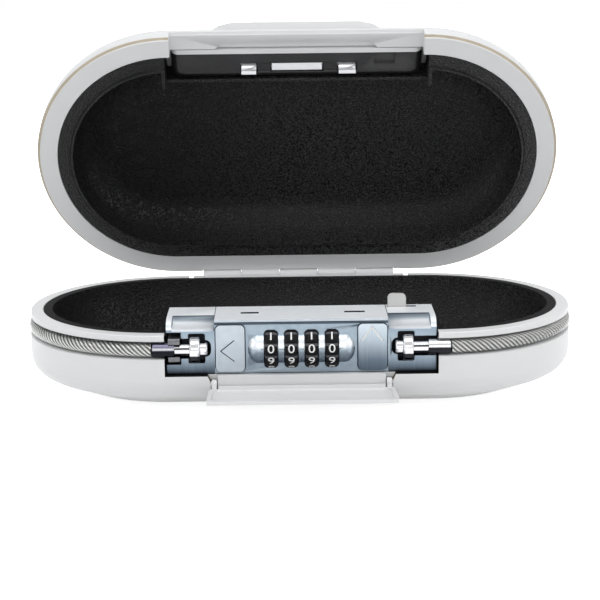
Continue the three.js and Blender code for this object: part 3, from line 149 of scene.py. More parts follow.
def reckon(tree, operation, *terms):
    """The result of a sum whose terms are sockets or plain numbers."""
    node = put(tree, "ShaderNodeMath", {"operation": operation})
    for slot, term in zip(node.inputs, terms):
        if isinstance(term, float):
            slot.default_value = term
        else:
            wire(tree, term, slot)
    return node.outputs[0]


def rescale(tree, value, from_min, from_max, to_min=0.0, to_max=1.0, kind="SMOOTHSTEP"):
    """The value carried from one range to another."""
    node = put(tree, "ShaderNodeMapRange", {"interpolation_type": kind},
               From_Min=from_min, From_Max=from_max, To_Min=to_min, To_Max=to_max)
    wire(tree, value, node.inputs["Value"])
    return node.outputs["Result"]


def blend(tree, factor, low, high):
    """A colour between two others."""
    mix = put(tree, "ShaderNodeMix", {"data_type": "RGBA"})
    mix.inputs["A"].default_value = (*low, 1.0)
    mix.inputs["B"].default_value = (*high, 1.0)
    wire(tree, factor, mix.inputs["Factor"])
    return mix.outputs["Result"]


def new_group(name, inputs, outputs):
    group = bpy.data.node_groups.new(name, "ShaderNodeTree")
    for label, value in inputs:
        socket = group.interface.new_socket(label, in_out="INPUT", socket_type="NodeSocketFloat")
        socket.default_value = value
    for label, kind in outputs:
        group.interface.new_socket(label, in_out="OUTPUT", socket_type=kind)
    return group, group.nodes.new("NodeGroupInput"), group.nodes.new("NodeGroupOutput")


def place(tree, group, **values):
    node = tree.nodes.new("ShaderNodeGroup")
    node.node_tree = group
    for name, value in values.items():
        node.inputs[name.replace("_", " ")].default_value = value
    return node


# %% [markdown]
# ## Effects that several materials share
#
# Four groups hold the effects that the finishes draw on. **Fine grain** is the tiny roughness every
# moulded or cast skin has. **Pebble** is the leathery texture etched into the liners' mould.
# **Handling** is the faint unevenness of gloss that fingers and time leave on a smooth surface.
# **Soft edge** turns the surface's direction a little near every corner, as if it were rounded:
# no moulded or cast edge is knife sharp, and that line is what catches the light.

# %% Fine grain
fine_grain, grain_in, grain_out = new_group(
    "fine_grain", [("Scale", 1500.0), ("Detail", 2.0)], [("Height", "NodeSocketFloat")]
)
grain_noise = put(fine_grain, "ShaderNodeTexNoise", Roughness=0.6)
wire(fine_grain, object_place(fine_grain), grain_noise.inputs["Vector"])
wire(fine_grain, grain_in.outputs["Scale"], grain_noise.inputs["Scale"])
wire(fine_grain, grain_in.outputs["Detail"], grain_noise.inputs["Detail"])
wire(fine_grain, grain_noise.outputs["Fac"], grain_out.inputs["Height"])

# %% Pebble texture
pebble, pebble_in, pebble_out = new_group(
    "pebble", [("Scale", 1400.0)], [("Height", "NodeSocketFloat")]
)
pebble_place = object_place(pebble)
pebble_warp = put(pebble, "ShaderNodeTexNoise", Scale=700.0, Detail=1.0)
pebble_mix = put(pebble, "ShaderNodeMix", {"data_type": "VECTOR"}, Factor=0.0012)
pebble_cells = put(pebble, "ShaderNodeTexVoronoi", {"feature": "SMOOTH_F1"}, Smoothness=0.5)
wire(pebble, pebble_place, pebble_warp.inputs["Vector"])
wire(pebble, pebble_place, pebble_mix.inputs["A"])
wire(pebble, pebble_warp.outputs["Color"], pebble_mix.inputs["B"])
wire(pebble, pebble_mix.outputs["Result"], pebble_cells.inputs["Vector"])
wire(pebble, pebble_in.outputs["Scale"], pebble_cells.inputs["Scale"])
pebble_domes = rescale(pebble, pebble_cells.outputs["Distance"], 0.1, 0.65, 1.0, 0.0)
wire(pebble, pebble_domes, pebble_out.inputs["Height"])

# %% Handling marks
handling, handling_in, handling_out = new_group(
    "handling", [("Scale", 30.0), ("Base", 0.4), ("Spread", 0.08)], [("Roughness", "NodeSocketFloat")]
)
handling_noise = put(handling, "ShaderNodeTexNoise", Detail=3.0, Roughness=0.55)
wire(handling, object_place(handling), handling_noise.inputs["Vector"])
wire(handling, handling_in.outputs["Scale"], handling_noise.inputs["Scale"])
unevenness = reckon(handling, "SUBTRACT", handling_noise.outputs["Fac"], 0.5)
gloss = reckon(handling, "MULTIPLY_ADD", unevenness, handling_in.outputs["Spread"],
               handling_in.outputs["Base"])
wire(handling, gloss, handling_out.inputs["Roughness"])

# %% Soft edge
soft_edge, edge_in, edge_out = new_group(
    "soft_edge", [("Radius", 0.0004)], [("Normal", "NodeSocketVector")]
)
edge_bevel = put(soft_edge, "ShaderNodeBevel", {"samples": 6})
wire(soft_edge, edge_in.outputs["Radius"], edge_bevel.inputs["Radius"])
wire(soft_edge, edge_bevel.outputs["Normal"], edge_out.inputs["Normal"])

# %% [markdown]
# ## Finishes
#
# Each finish starts from one Principled shader. What is the same all over is set on the shader
# itself; what changes over the surface, such as a speckled colour or a bump, is wired in.

# %% Base recipe
def new_finish(name, color, roughness, metallic=0.0, **values):
    material = bpy.data.materials.new(name)
    material.use_nodes = True
    material.diffuse_color = (*color, 1.0)
    tree = material.node_tree
    shader = tree.nodes["Principled BSDF"]
    shader.inputs["Base Color"].default_value = (*color, 1.0)
    shader.inputs["Roughness"].default_value = roughness
    shader.inputs["Metallic"].default_value = metallic
    for label, value in values.items():
        shader.inputs[label.replace("_", " ")].default_value = value
    return material, tree, shader


def add_bump(tree, shader, height, distance, strength=1.0, edge=0.0):
    bump = put(tree, "ShaderNodeBump", Strength=strength, Distance=distance)
    wire(tree, height, bump.inputs["Height"])
    wire(tree, bump.outputs["Normal"], shader.inputs["Normal"])
    if edge:
        softened = place(tree, soft_edge, Radius=edge)
        wire(tree, softened.outputs["Normal"], bump.inputs["Normal"])


def grained(tree, shader, scale, distance, strength, edge=0.0, detail=2.0):
    """A fine skin, and edges softened by this many metres."""
    skin = place(tree, fine_grain, Scale=scale, Detail=detail)
    add_bump(tree, shader, skin.outputs["Height"], distance, strength, edge)


def handled(tree, shader, scale, base, spread):
    """A gloss that wavers about its base value."""
    marks = place(tree, handling, Scale=scale, Base=base, Spread=spread)
    wire(tree, marks.outputs["Roughness"], shader.inputs["Roughness"])


def speckle(tree, shader, scale, low, high):
    """Colour that wavers between two close tones."""
    noise = put(tree, "ShaderNodeTexNoise", Scale=scale, Detail=4.0)
    wire(tree, object_place(tree), noise.inputs["Vector"])
    wire(tree, blend(tree, noise.outputs["Fac"], low, high), shader.inputs["Base Color"])


# %% Tones by height
STREAK_SCALE = (1400.0, 60.0, 60.0)


def banded(name, stops, roughness, metallic, waver=0.0, edge=0.0003):
    """A finish whose tone follows height, given as (mm, colour), ragged by `waver` mm."""
    material, tree, shader = new_finish(name, stops[-1][1], roughness, metallic=metallic)
    low, high = stops[0][0], stops[-1][0]
    where = object_place(tree)
    axes = put(tree, "ShaderNodeSeparateXYZ")
    stretch = put(tree, "ShaderNodeMapping", {"vector_type": "POINT"})
    stretch.inputs["Scale"].default_value = STREAK_SCALE
    streaks = put(tree, "ShaderNodeTexNoise", Scale=1.0, Detail=3.0)
    wire(tree, where, axes.inputs[0])
    wire(tree, where, stretch.inputs["Vector"])
    wire(tree, stretch.outputs["Vector"], streaks.inputs["Vector"])
    level = reckon(tree, "MULTIPLY_ADD", streaks.outputs["Fac"], waver * MM, axes.outputs["Z"])
    rise = rescale(tree, level, (low + waver / 2) * MM, (high + waver / 2) * MM, kind="LINEAR")
    bands = put(tree, "ShaderNodeValToRGB")
    ramp = bands.color_ramp.elements
    ramp[0].color = (*stops[0][1], 1.0)
    ramp[1].color = (*stops[-1][1], 1.0)
    for height, colour in stops[1:-1]:
        ramp.new((height - low) / (high - low)).color = (*colour, 1.0)
    wire(tree, rise, bands.inputs["Fac"])
    wire(tree, bands.outputs["Color"], shader.inputs["Base Color"])
    grained(tree, shader, 1600.0, 0.00005, 0.6, edge, detail=4.0)
    handled(tree, shader, 150.0, roughness, 0.15)
    return material


# %% White shell plastic
white_shell, tree, shader = new_finish("white_shell", (0.66, 0.665, 0.67), 0.38)
speckle(tree, shader, 60.0, (0.65, 0.655, 0.66), (0.675, 0.68, 0.68))
handled(tree, shader, 25.0, 0.38, 0.12)
grained(tree, shader, 1800.0, 0.00002, 0.35, edge=0.0005)

# %% [markdown]
# The narrow step where the two shells meet shows on the real lid as a thin straw-coloured line.
# Here it is painted shade: the same plastic, darkened and yellowed. In the gaps round the lock
# no light reaches the walls, and they are painted black or brown, as painted shade.

# %% Painted shade in the seam and in the gaps
seam_painted_shade, tree, shader = new_finish("seam_painted_shade", (0.40, 0.34, 0.25), 0.6)
speckle(tree, shader, 150.0, (0.34, 0.29, 0.21), (0.48, 0.42, 0.33))
grained(tree, shader, 1800.0, 0.00002, 0.35)

# Painted shade: a dull black for the gaps round the lock, and a brown for the door's arm slots.
gap_shadow, tree, shader = new_finish("gap_shadow", (0.006, 0.006, 0.007), 0.7, Specular_IOR_Level=0.1)
speckle(tree, shader, 400.0, (0.004, 0.004, 0.005), (0.012, 0.012, 0.012))
slot_shade_brown, tree, shader = new_finish("slot_shade_brown", (0.10, 0.085, 0.06), 0.7, Specular_IOR_Level=0.1)
speckle(tree, shader, 400.0, (0.06, 0.05, 0.035), (0.16, 0.14, 0.10))

# %% [markdown]
# The liners' pebble tops are painted lighter, a painted glint, and that glint is painted weaker on
# the left, a painted shade, so the factor that mixes the two blacks grows from left to right.

# %% Black liner, grained, and its smooth rim
LIGHT_START_X = -0.075
LIGHT_FULL_X = 0.005
LEAST_LIGHT = 0.12
black_liner, tree, shader = new_finish("black_liner", (0.008, 0.008, 0.009), 0.42,
                                       Specular_IOR_Level=0.3)
pebbles = place(tree, pebble, Scale=1400.0)
axes = put(tree, "ShaderNodeSeparateXYZ")
wire(tree, object_place(tree), axes.inputs[0])
painted_side_light = rescale(tree, axes.outputs["X"], LIGHT_START_X, LIGHT_FULL_X, LEAST_LIGHT, 1.0)
lit_pebble_tops = reckon(tree, "MULTIPLY", painted_side_light, pebbles.outputs["Height"])
liner_black = blend(tree, lit_pebble_tops, (0.0015, 0.0015, 0.002), (0.050, 0.050, 0.052))
wire(tree, liner_black, shader.inputs["Base Color"])
handled(tree, shader, 40.0, 0.42, 0.25)
add_bump(tree, shader, pebbles.outputs["Height"], 0.0005, 1.0)

liner_rim, tree, shader = new_finish("liner_rim", (0.004, 0.004, 0.005), 0.42,
                                     Specular_IOR_Level=0.14)
grained(tree, shader, 900.0, 0.00004, 0.5, edge=0.0005)
handled(tree, shader, 50.0, 0.34, 0.15)

black_plastic, tree, shader = new_finish("black_plastic", (0.010, 0.010, 0.011), 0.38,
                                         Specular_IOR_Level=0.35)
speckle(tree, shader, 1500.0, (0.004, 0.004, 0.005), (0.022, 0.022, 0.023))
grained(tree, shader, 1300.0, 0.00015, 0.9, edge=0.0004)
handled(tree, shader, 60.0, 0.38, 0.2)

# %% [markdown]
# ## Cast zinc
#
# The lock is die cast, tumbled and lacquered. That gives a bluish satin metal with a fine skin,
# lighter where an edge was rubbed; its hollows are painted darker, as painted shade. Its finishes
# share one recipe: the body, the top plate painted paler as a painted highlight, the paler button, the
# pockets painted black as painted shade, the dark seam under the plate as a painted shadow and the
# bright cut of an arrow.

# %% Zinc finishes
def zinc_finish(name, low, high, roughness, metallic=0.6, edge=0.0004):
    middle = tuple((a + b) / 2 for a, b in zip(low, high))
    material, tree, shader = new_finish(name, middle, roughness, metallic=metallic)
    speckle(tree, shader, 260.0, low, high)
    grained(tree, shader, 1600.0, 0.00006, 0.6, edge, detail=4.0)
    handled(tree, shader, 120.0, roughness, 0.25)
    return material


zinc_casting = zinc_finish("zinc_casting", (0.19, 0.245, 0.295), (0.34, 0.40, 0.455), 0.34,
                           metallic=0.8)
# A painted highlight: pale zinc for the top plate and for the wings' faces that look up.
zinc_top_highlight = zinc_finish("zinc_top_highlight", (0.72, 0.745, 0.77), (0.82, 0.84, 0.86), 0.45,
                         metallic=0.15, edge=0.0002)
# Painted shade: near-black zinc for the pockets, the top plate's slots and the thin arrow's groove.
zinc_recess_shade = zinc_finish("zinc_recess_shade", (0.012, 0.014, 0.018), (0.03, 0.033, 0.04), 0.5, edge=0.0001)
# A painted shadow: the dark line on the front face just under the top plate.
plate_seam_shadow = zinc_finish("plate_seam_shadow", (0.04, 0.06, 0.085), (0.07, 0.095, 0.125), 0.5, edge=0.0001)
zinc_cut = zinc_finish("zinc_cut", (0.88, 0.89, 0.90), (0.93, 0.94, 0.94), 0.5, metallic=0.0,
                       edge=0.0001)
zinc_button = zinc_finish("zinc_button", (0.36, 0.41, 0.455), (0.51, 0.56, 0.61), 0.40, edge=0.00025)

# %% [markdown]
# The castings' light and shade is painted into their colour by height. The right button and the wings
# get painted shade at their foot, the wings' step a painted reflection, bright below and dark under
# the top, and the barrel round the dials a painted highlight along its upper half. These finishes name
# a tone for each height in millimetres.

# %% Castings with painted light and shade by height
latch_zinc_foot_shade = banded("latch_zinc_foot_shade", (
    (16.0, (0.055, 0.075, 0.105)), (24.0, (0.12, 0.155, 0.195)), (33.0, (0.36, 0.42, 0.47)),
    (38.5, (0.46, 0.52, 0.57)),
), 0.38, 0.85, waver=4.0)

zinc_wing_shaded = banded("zinc_wing_shaded", (
    (19.1, (0.04, 0.052, 0.07)), (21.5, (0.10, 0.13, 0.165)), (25.0, (0.22, 0.27, 0.32)),
    (31.0, (0.33, 0.39, 0.445)), (37.5, (0.22, 0.28, 0.335)),
), 0.34, 0.8, waver=1.5)
zinc_step_reflection = banded("zinc_step_reflection", (
    (36.9, (0.44, 0.50, 0.56)), (37.7, (0.80, 0.83, 0.86)), (38.4, (0.80, 0.83, 0.86)),
    (39.3, (0.64, 0.69, 0.73)), (40.2, (0.36, 0.42, 0.48)), (41.0, (0.24, 0.29, 0.34)),
    (41.25, (0.07, 0.09, 0.11)), (41.6, (0.07, 0.09, 0.11)),
), 0.4, 0.4, waver=0.25)
zinc_barrel_highlight = banded("zinc_barrel_highlight", (
    (24.7, (0.12, 0.155, 0.20)), (27.0, (0.20, 0.25, 0.30)), (29.4, (0.32, 0.38, 0.44)),
    (30.4, (0.70, 0.75, 0.79)), (32.2, (0.88, 0.90, 0.92)), (33.6, (0.62, 0.68, 0.73)),
    (35.0, (0.40, 0.46, 0.52)),
), 0.26, 0.55, waver=0.7)

# %% Bright metals
bright_steel, tree, shader = new_finish("bright_steel", (0.80, 0.81, 0.83), 0.34, metallic=0.6)
speckle(tree, shader, 400.0, (0.76, 0.77, 0.79), (0.86, 0.87, 0.89))
grained(tree, shader, 1200.0, 0.00002, 0.4, edge=0.0002)

# A dark steel tone for the cable jaws, painted shade for the dark hollow they sit in.
jaw_steel_shade, tree, shader = new_finish("jaw_steel_shade", (0.14, 0.14, 0.15), 0.34, metallic=0.9)
speckle(tree, shader, 500.0, (0.09, 0.09, 0.10), (0.19, 0.19, 0.20))
grained(tree, shader, 1200.0, 0.00003, 0.4, edge=0.0003)

# %% [markdown]
# The cable's end fittings are nickel plated. Each is painted bright above a line and dark below it:
# the dark underside is a painted reflection of dark surroundings. The left ferrule is darker than
# the rest and looks like gunmetal; its bright band is a painted reflection too.

# %% Nickel, with a painted dark reflection underneath
NICKEL = (0.60, 0.60, 0.62)
DARK_REFLECTION = (0.018, 0.018, 0.022)
plated_collar = banded("plated_collar", (
    (25.0, DARK_REFLECTION), (27.9, DARK_REFLECTION), (28.3, NICKEL), (36.0, NICKEL),
), 0.15, 1.0, waver=0.2)
plated_neck = banded("plated_neck", (
    (26.0, DARK_REFLECTION), (28.5, DARK_REFLECTION), (28.8, NICKEL), (30.2, NICKEL), (30.4, DARK_REFLECTION),
    (30.8, DARK_REFLECTION), (31.0, NICKEL), (33.0, NICKEL),
), 0.15, 1.0, waver=0.1)
plated_ferrule = banded("plated_ferrule", (
    (26.0, DARK_REFLECTION), (30.0, DARK_REFLECTION), (30.2, NICKEL), (33.2, NICKEL),
), 0.15, 1.0, waver=0.1)
gunmetal = banded("gunmetal", (
    (26.0, (0.012, 0.012, 0.016)), (30.0, (0.012, 0.012, 0.016)), (30.3, (0.38, 0.375, 0.42)),
    (31.3, (0.40, 0.39, 0.45)), (31.6, (0.10, 0.095, 0.14)), (33.2, (0.12, 0.115, 0.16)),
), 0.2, 1.0, waver=0.1)

turned_brass, tree, shader = new_finish("turned_brass", (0.60, 0.42, 0.16), 0.3, metallic=1.0)
grained(tree, shader, 1200.0, 0.00002, 0.4)

# %% Dials, figures and the reset lever
dial_black, tree, shader = new_finish("dial_black", (0.003, 0.003, 0.004), 0.45,
                                      Specular_IOR_Level=0.12)
grained(tree, shader, 2000.0, 0.00002, 0.4)
# A painted highlight: a paler black for the notches' floors, where they catch the light.
dial_notch_lit, tree, shader = new_finish("dial_notch_lit", (0.09, 0.09, 0.10), 0.5, Specular_IOR_Level=0.2)
grained(tree, shader, 2000.0, 0.00002, 0.4)

figure_white, tree, shader = new_finish("figure_white", (0.80, 0.80, 0.79), 0.5)
speckle(tree, shader, 900.0, (0.72, 0.72, 0.71), (0.86, 0.86, 0.85))

grey_plastic, tree, shader = new_finish("grey_plastic", (0.50, 0.50, 0.485), 0.42)
speckle(tree, shader, 200.0, (0.48, 0.48, 0.465), (0.53, 0.53, 0.515))
grained(tree, shader, 1500.0, 0.00003, 0.5, edge=0.0006)

dark_line, tree, shader = new_finish("dark_line", (0.03, 0.035, 0.04), 0.6)
grained(tree, shader, 1500.0, 0.00002, 0.4)

# %% [markdown]
# ## Cable finishes
#
# The strands are painted bright on their backs, a painted highlight, and dark where they meet, a
# painted shade; each strand is itself a twist of thin wires. The rope's mesh carries two attributes
# for that, `lay_height` across each strand and `lay_phase` round the rope, so colour and bump follow
# every turn. The vinyl over it is clear with a trace of milk.

# %% Bright wires and clear vinyl
WIRES_BY_PHASE = 6.0
THIN_WIRE_SHARE = 0.14
cable_wire, tree, shader = new_finish("cable_wire", (0.40, 0.41, 0.42), 0.32, metallic=0.85)
strand = put(tree, "ShaderNodeAttribute", {"attribute_name": "lay_height"})
winding = put(tree, "ShaderNodeAttribute", {"attribute_name": "lay_phase"})
thin_wires = reckon(tree, "SINE", reckon(tree, "MULTIPLY", winding.outputs["Fac"], WIRES_BY_PHASE))
wire_height = reckon(tree, "MULTIPLY_ADD", thin_wires, THIN_WIRE_SHARE, strand.outputs["Fac"])
# Painted highlight on the strands' backs and painted shade where they meet.
lay_light_and_shade = rescale(tree, wire_height, 0.25, 0.95)
wires_painted_shading = blend(tree, lay_light_and_shade, (0.10, 0.10, 0.105), (0.66, 0.67, 0.68))
wire(tree, wires_painted_shading, shader.inputs["Base Color"])
add_bump(tree, shader, wire_height, 0.0002, 0.6)

clear_vinyl = new_finish("clear_vinyl", (0.88, 0.875, 0.84), 0.06,
                         Transmission_Weight=0.94, IOR=1.3)[0]

# %% [markdown]
# ## Dressing a CAD solid
#
# The frame's meshes are loose triangles. For a smooth look each one is copied, its doubled
# corners merged and its flat triangles joined into whole faces.

# %% Copy and merge
lid_joint = next(j for j in frame["joints"] if j["child"] == "lid")
LID_PIVOT = Vector(lid_joint["pos_m"])
LID_OPEN = math.radians(-lid_joint["range_deg"][0])
HALF_DEPTH = 0.0625
STRAIGHT_HALF = 0.0575
TO_PIVOT = Matrix.Translation(LID_PIVOT)
SHUT_LID = TO_PIVOT @ Matrix.Rotation(LID_OPEN, 4, "X") @ TO_PIVOT.inverted()


def merged(node, flat_degrees=0.6):
    """A bmesh of a CAD node with whole faces in place of loose triangles."""
    work = bmesh.new()
    work.from_mesh(frame["nodes"][node].data)
    bmesh.ops.remove_doubles(work, verts=work.verts, dist=1e-6)
    bmesh.ops.dissolve_degenerate(work, dist=1e-6, edges=work.edges)
    bmesh.ops.dissolve_limit(
        work, angle_limit=math.radians(flat_degrees), verts=work.verts, edges=work.edges,
        delimit={"NORMAL"},
    )
    return work


# %% [markdown]
# The CAD model draws each round end of the safe with sixteen straight facets. Seen close, they
# show as corners in the outline. So every facet is split by planes through the end's centre, and
# the new corners are pushed out until they lie on the true circle.

# %% Round ends
FACETS = 16
FACET_ANGLE = math.pi / FACETS
PARTS = 4


def facet_of(point, side):
    """Number of the facet a point belongs to, and its angle from that facet's middle."""
    angle = math.atan2(point.y, side * point.x - STRAIGHT_HALF) + math.pi / 2
    number = min(max(int(angle / FACET_ANGLE), 0), FACETS - 1)
    return number, angle - (number + 0.5) * FACET_ANGLE


def round_the_ends(work):
    for side in (-1, 1):
        centre = Vector((side * STRAIGHT_HALF, 0, 0))
        sectors = [[] for _ in range(FACETS)]
        for face in work.faces:
            middle = face.calc_center_median()
            if side * middle.x > STRAIGHT_HALF:
                sectors[facet_of(middle, side)[0]].append(face)
        for number, faces in enumerate(sectors):
            for part in range(1, PARTS):
                angle = -math.pi / 2 + (number + part / PARTS) * FACET_ANGLE
                across = Vector((-side * math.sin(angle), math.cos(angle), 0))
                faces = [face for face in faces if face.is_valid]
                parts = set(faces)
                parts.update(edge for face in faces for edge in face.edges)
                parts.update(vertex for face in faces for vertex in face.verts)
                cut = bmesh.ops.bisect_plane(
                    work, geom=list(parts), dist=1e-7, plane_co=centre, plane_no=across,
                )
                faces = [part for part in cut["geom"] if isinstance(part, bmesh.types.BMFace)]
        for vertex in work.verts:
            if side * vertex.co.x > STRAIGHT_HALF + 1e-6:
                offset = facet_of(vertex.co, side)[1]
                stretch = math.cos(offset) / math.cos(FACET_ANGLE / 2)
                vertex.co.x = centre.x + (vertex.co.x - centre.x) * stretch
                vertex.co.y *= stretch


# %% [markdown]
# The finished copy is smooth where the CAD's facets are shallow and crisp where they are steep.
# It rides on the same body as its node and hides it.

# %% Finished copies
def mesh_from(work, name, *finishes, smooth=True):
    """A mesh from a bmesh, smoothed where wanted, with its first finish all over."""
    mesh = bpy.data.meshes.new(name)
    work.to_mesh(mesh)
    work.free()
    for finish in finishes:
        mesh.materials.append(finish)
    for face in mesh.polygons:
        face.use_smooth = smooth or face.use_smooth
        face.material_index = 0
    return mesh


def standing(name, data):
    """An object in the scene made from a mesh, a curve or a lamp."""
    piece = bpy.data.objects.new(name, data)
    bpy.context.scene.collection.objects.link(piece)
    return piece


def turn_about_hinge(work, turn, wanted=True):
    """Shuts or opens the lid's bmesh about the hinge, where that is wanted."""
    if wanted:
        bmesh.ops.transform(work, matrix=turn, verts=work.verts)


def dress(node, *finishes, sharp=35.0, ends=False, shut=False):
    """A smooth copy of a CAD node that stands in its place."""
    work = merged(node)
    turn_about_hinge(work, SHUT_LID, shut)
    if ends:
        round_the_ends(work)
    turn_about_hinge(work, SHUT_LID.inverted(), shut)
    mesh = mesh_from(work, node + "_skin", *finishes)
    mesh.set_sharp_from_angle(angle=math.radians(sharp))
    piece = standing(node + "_skin", mesh)
    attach(piece, frame["nodes"][node]["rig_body"])
    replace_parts(piece, node)
    return piece


def paint(piece, index, chosen, shut=False):
    """Gives the finish of that index to the faces whose centre and normal are chosen."""
    turn = SHUT_LID if shut else Matrix.Identity(4)
    count = 0
    for face in piece.data.polygons:
        normal = turn.to_3x3() @ face.normal
        if chosen(turn @ face.center, normal):
            face.material_index = index
            count += 1
    print(piece.name, "finish", index, "on", count, "faces")


def within(value, span):
    return span[0] < value < span[1]


def inset_of(point):
    """How far inside the safe's outline a point lies, seen from above."""
    beyond = max(abs(point.x) - STRAIGHT_HALF, 0.0)
    return HALF_DEPTH - math.hypot(beyond, point.y)


# %% [markdown]
# Where one finish ends in the middle of a face, the face is cut along a plane first, so that the
# line is straight. The CAD object stays whole, as the cut is made in the copy.

# %% Cut along a plane
def cut_at(piece, point, normal, chosen=None, shut=False):
    """Cut the chosen faces of a copy, or all of them, along a plane."""
    work = bmesh.new()
    work.from_mesh(piece.data)
    turn_about_hinge(work, SHUT_LID, shut)
    work.normal_update()
    faces = [f for f in work.faces if chosen is None or chosen(f.calc_center_median(), f.normal)]
    edges = {edge for face in faces for edge in face.edges}
    verts = {vert for face in faces for vert in face.verts}
    bmesh.ops.bisect_plane(
        work, geom=list(verts) + list(edges) + faces, dist=1e-7, plane_co=point, plane_no=normal,
    )
    turn_about_hinge(work, SHUT_LID.inverted(), shut)
    work.to_mesh(piece.data)
    work.free()
    print(piece.name, "cut,", len(piece.data.polygons), "faces")


# %% [markdown]
# ## The shells
#
# Base and lid are injection moulded with a satin surface. Their big curves only need smooth
# shading and true round ends. The narrow step under the lid's outer edge gets the seam's painted
# shade.

# %% Shells and door
RIM_HEIGHT = 0.0365
SEAM_FOOT = RIM_HEIGHT + 0.0009
SEAM_TOP = RIM_HEIGHT + 0.00145
SEAM_INSET = 0.0012


def on_seam(at, normal):
    return inset_of(at) < SEAM_INSET and SEAM_FOOT < at.z < SEAM_TOP and normal.z < -0.5


base_shell = dress("base_shell", white_shell, sharp=28.0, ends=True)
lid_shell = dress("lid_shell", white_shell, seam_painted_shade, sharp=28.0, ends=True, shut=True)
# Painted shade on the narrow step under the lid's outer edge.
paint(lid_shell, 1, on_seam, shut=True)
door = dress("door", white_shell)

# %% [markdown]
# Where the lock sits in its opening, a narrow gap runs round it, and the door's arms lie in two
# slots. No light reaches in there, so the walls of the gap are painted black and the walls
# of the slots brown, as painted shade.

# %% Gaps round the lock and the door's arms
LOCK_LOW = 0.0191
LOCK_HALF = 0.0560
GAP_WIDTH = 0.0013
GAP_FOOT_Z = 0.0165
GAP_BACK_Y = -0.050
CENTRE_LEDGE_X = 0.0362
ARM_SLOT_X = (0.0348, 0.0400)
ARM_SLOT_Y = (-0.0622, -0.0580)
ARM_SLOT_FOOT_Z = 0.0108


def beside_lock(at, normal):
    side = LOCK_HALF - 0.0005 < abs(at.x) < LOCK_HALF + GAP_WIDTH and abs(normal.x) > 0.8
    wing = CENTRE_LEDGE_X < abs(at.x) < LOCK_HALF + GAP_WIDTH
    ledge = wing and normal.z > 0.8 and at.z < LOCK_LOW + 0.0002
    return ((side or ledge) and -0.0618 < at.y < GAP_BACK_Y
            and GAP_FOOT_Z < at.z < RIM_HEIGHT - 0.0004)


def in_arm_slot(at, normal):
    return (within(abs(at.x), ARM_SLOT_X) and within(at.y, ARM_SLOT_Y)
            and ARM_SLOT_FOOT_Z < at.z < LOCK_LOW - 0.0005 and normal.x * at.x < -0.003)


def on_ledge(at, normal):
    return (abs(at.x) < LOCK_HALF + GAP_WIDTH and normal.z > 0.8
            and GAP_FOOT_Z < at.z < LOCK_LOW + 0.0002 and -0.0635 < at.y < GAP_BACK_Y)


for finish in (gap_shadow, slot_shade_brown):
    base_shell.data.materials.append(finish)
for side in (-1, 1):
    cut_at(base_shell, (side * CENTRE_LEDGE_X, 0, 0), (1, 0, 0), chosen=on_ledge)
paint(base_shell, 1, beside_lock)
paint(base_shell, 2, in_arm_slot)

# %% [markdown]
# ## The liners
#
# Both liners come from a mould with an etched pebble texture. Only the lid's outer ring is smooth,
# so its faces are sorted by where they lie: near the rim they get the smooth finish, deeper inside
# the grained one. The lid stands open, so its faces are first turned back about the hinge to see
# how deep they lie. The flat edge of the lower liner lies in the shells' gap and looks dull black.

# %% Liners
LINER_EDGE_Z = 0.033
RING_WIDTH = 0.0166
RING_TOP_Z = 0.0385
base_liner = dress("base_liner", black_liner, gap_shadow, sharp=28.0, ends=True)
# The lower liner's flat edge gets the gap's painted shade, a dull black.
paint(base_liner, 1, lambda at, normal: normal.z > 0.5 and at.z > LINER_EDGE_Z)
lid_liner = dress("lid_liner", black_liner, liner_rim, sharp=28.0, ends=True, shut=True)
paint(lid_liner, 1, lambda at, _: inset_of(at) < RING_WIDTH and at.z < RING_TOP_Z, shut=True)

# %% [markdown]
# ## Latch moulding
#
# The moulding's front strip is overlapped by the shell's white cove, so the moulding shows black
# only behind that line. Its faces are cut along the line, and the front ones get the shell's white.

# %% Latch moulding and what shows in its windows
COVE_LINE_Y = -0.0519
moulding = dress("latch_moulding", black_plastic, white_shell)
cut_at(moulding, (0, COVE_LINE_Y, 0), (0, 1, 0), shut=True)
paint(moulding, 1, lambda at, _: at.y < COVE_LINE_Y, shut=True)
for node in ("strike_plate", "strike_screw_left", "strike_screw_right"):
    dress(node, bright_steel)

# %% [markdown]
# ## The lock
#
# The pockets that hold the cable ends are painted black, as painted shade, and so
# are the gaps round the buttons. One arrow is a thin dark scratch, its groove painted dark as painted
# shade, and the other a broad bright cut, so each gets its own finish. Each rule below says which
# faces of a casting it is for, by where their centre lies and which way they look.

# %% Castings
LOCK_FACE_Y = -0.0585
BUTTON_FACE_Y = LOCK_FACE_Y - 0.0011
WING_START_X = 0.0372
LOCK_END_X = 0.0559
WING_LEDGE_Z = 0.0368
PLATE_SEAM_Z = 0.0396
CENTRE_EDGE_X = 0.0358
FACE_CUT_X = 0.0360
BARREL_HALF = 0.0235
POCKET_Z = (0.0222, 0.0374)
BUTTON_GAP_X = (0.0230, 0.0362)
BUTTON_GAP_Z = (0.0185, 0.0405)
PLATE_SLOT_BACK_Y = -0.036
PLATE_SLOT_END_X = 0.0355


def in_pocket(at, normal):
    return (WING_START_X < abs(at.x) < LOCK_END_X and at.y > LOCK_FACE_Y + 0.0004
            and within(at.z, POCKET_Z))


def engraved(at, normal):
    return BUTTON_FACE_Y + 0.0002 < at.y < BUTTON_FACE_Y + 0.0006 and normal.y < -0.5


def on_wing(at, normal):
    return abs(at.x) > CENTRE_EDGE_X and normal.y < -0.3


def on_step(at, normal):
    return on_wing(at, normal) and at.z > WING_LEDGE_Z


def facing_up(at, normal):
    return abs(at.x) > CENTRE_EDGE_X and normal.z > 0.7 and at.z > WING_LEDGE_Z


def on_barrel(at, normal):
    return at.y < LOCK_FACE_Y - 0.0001 and abs(at.x) < BARREL_HALF


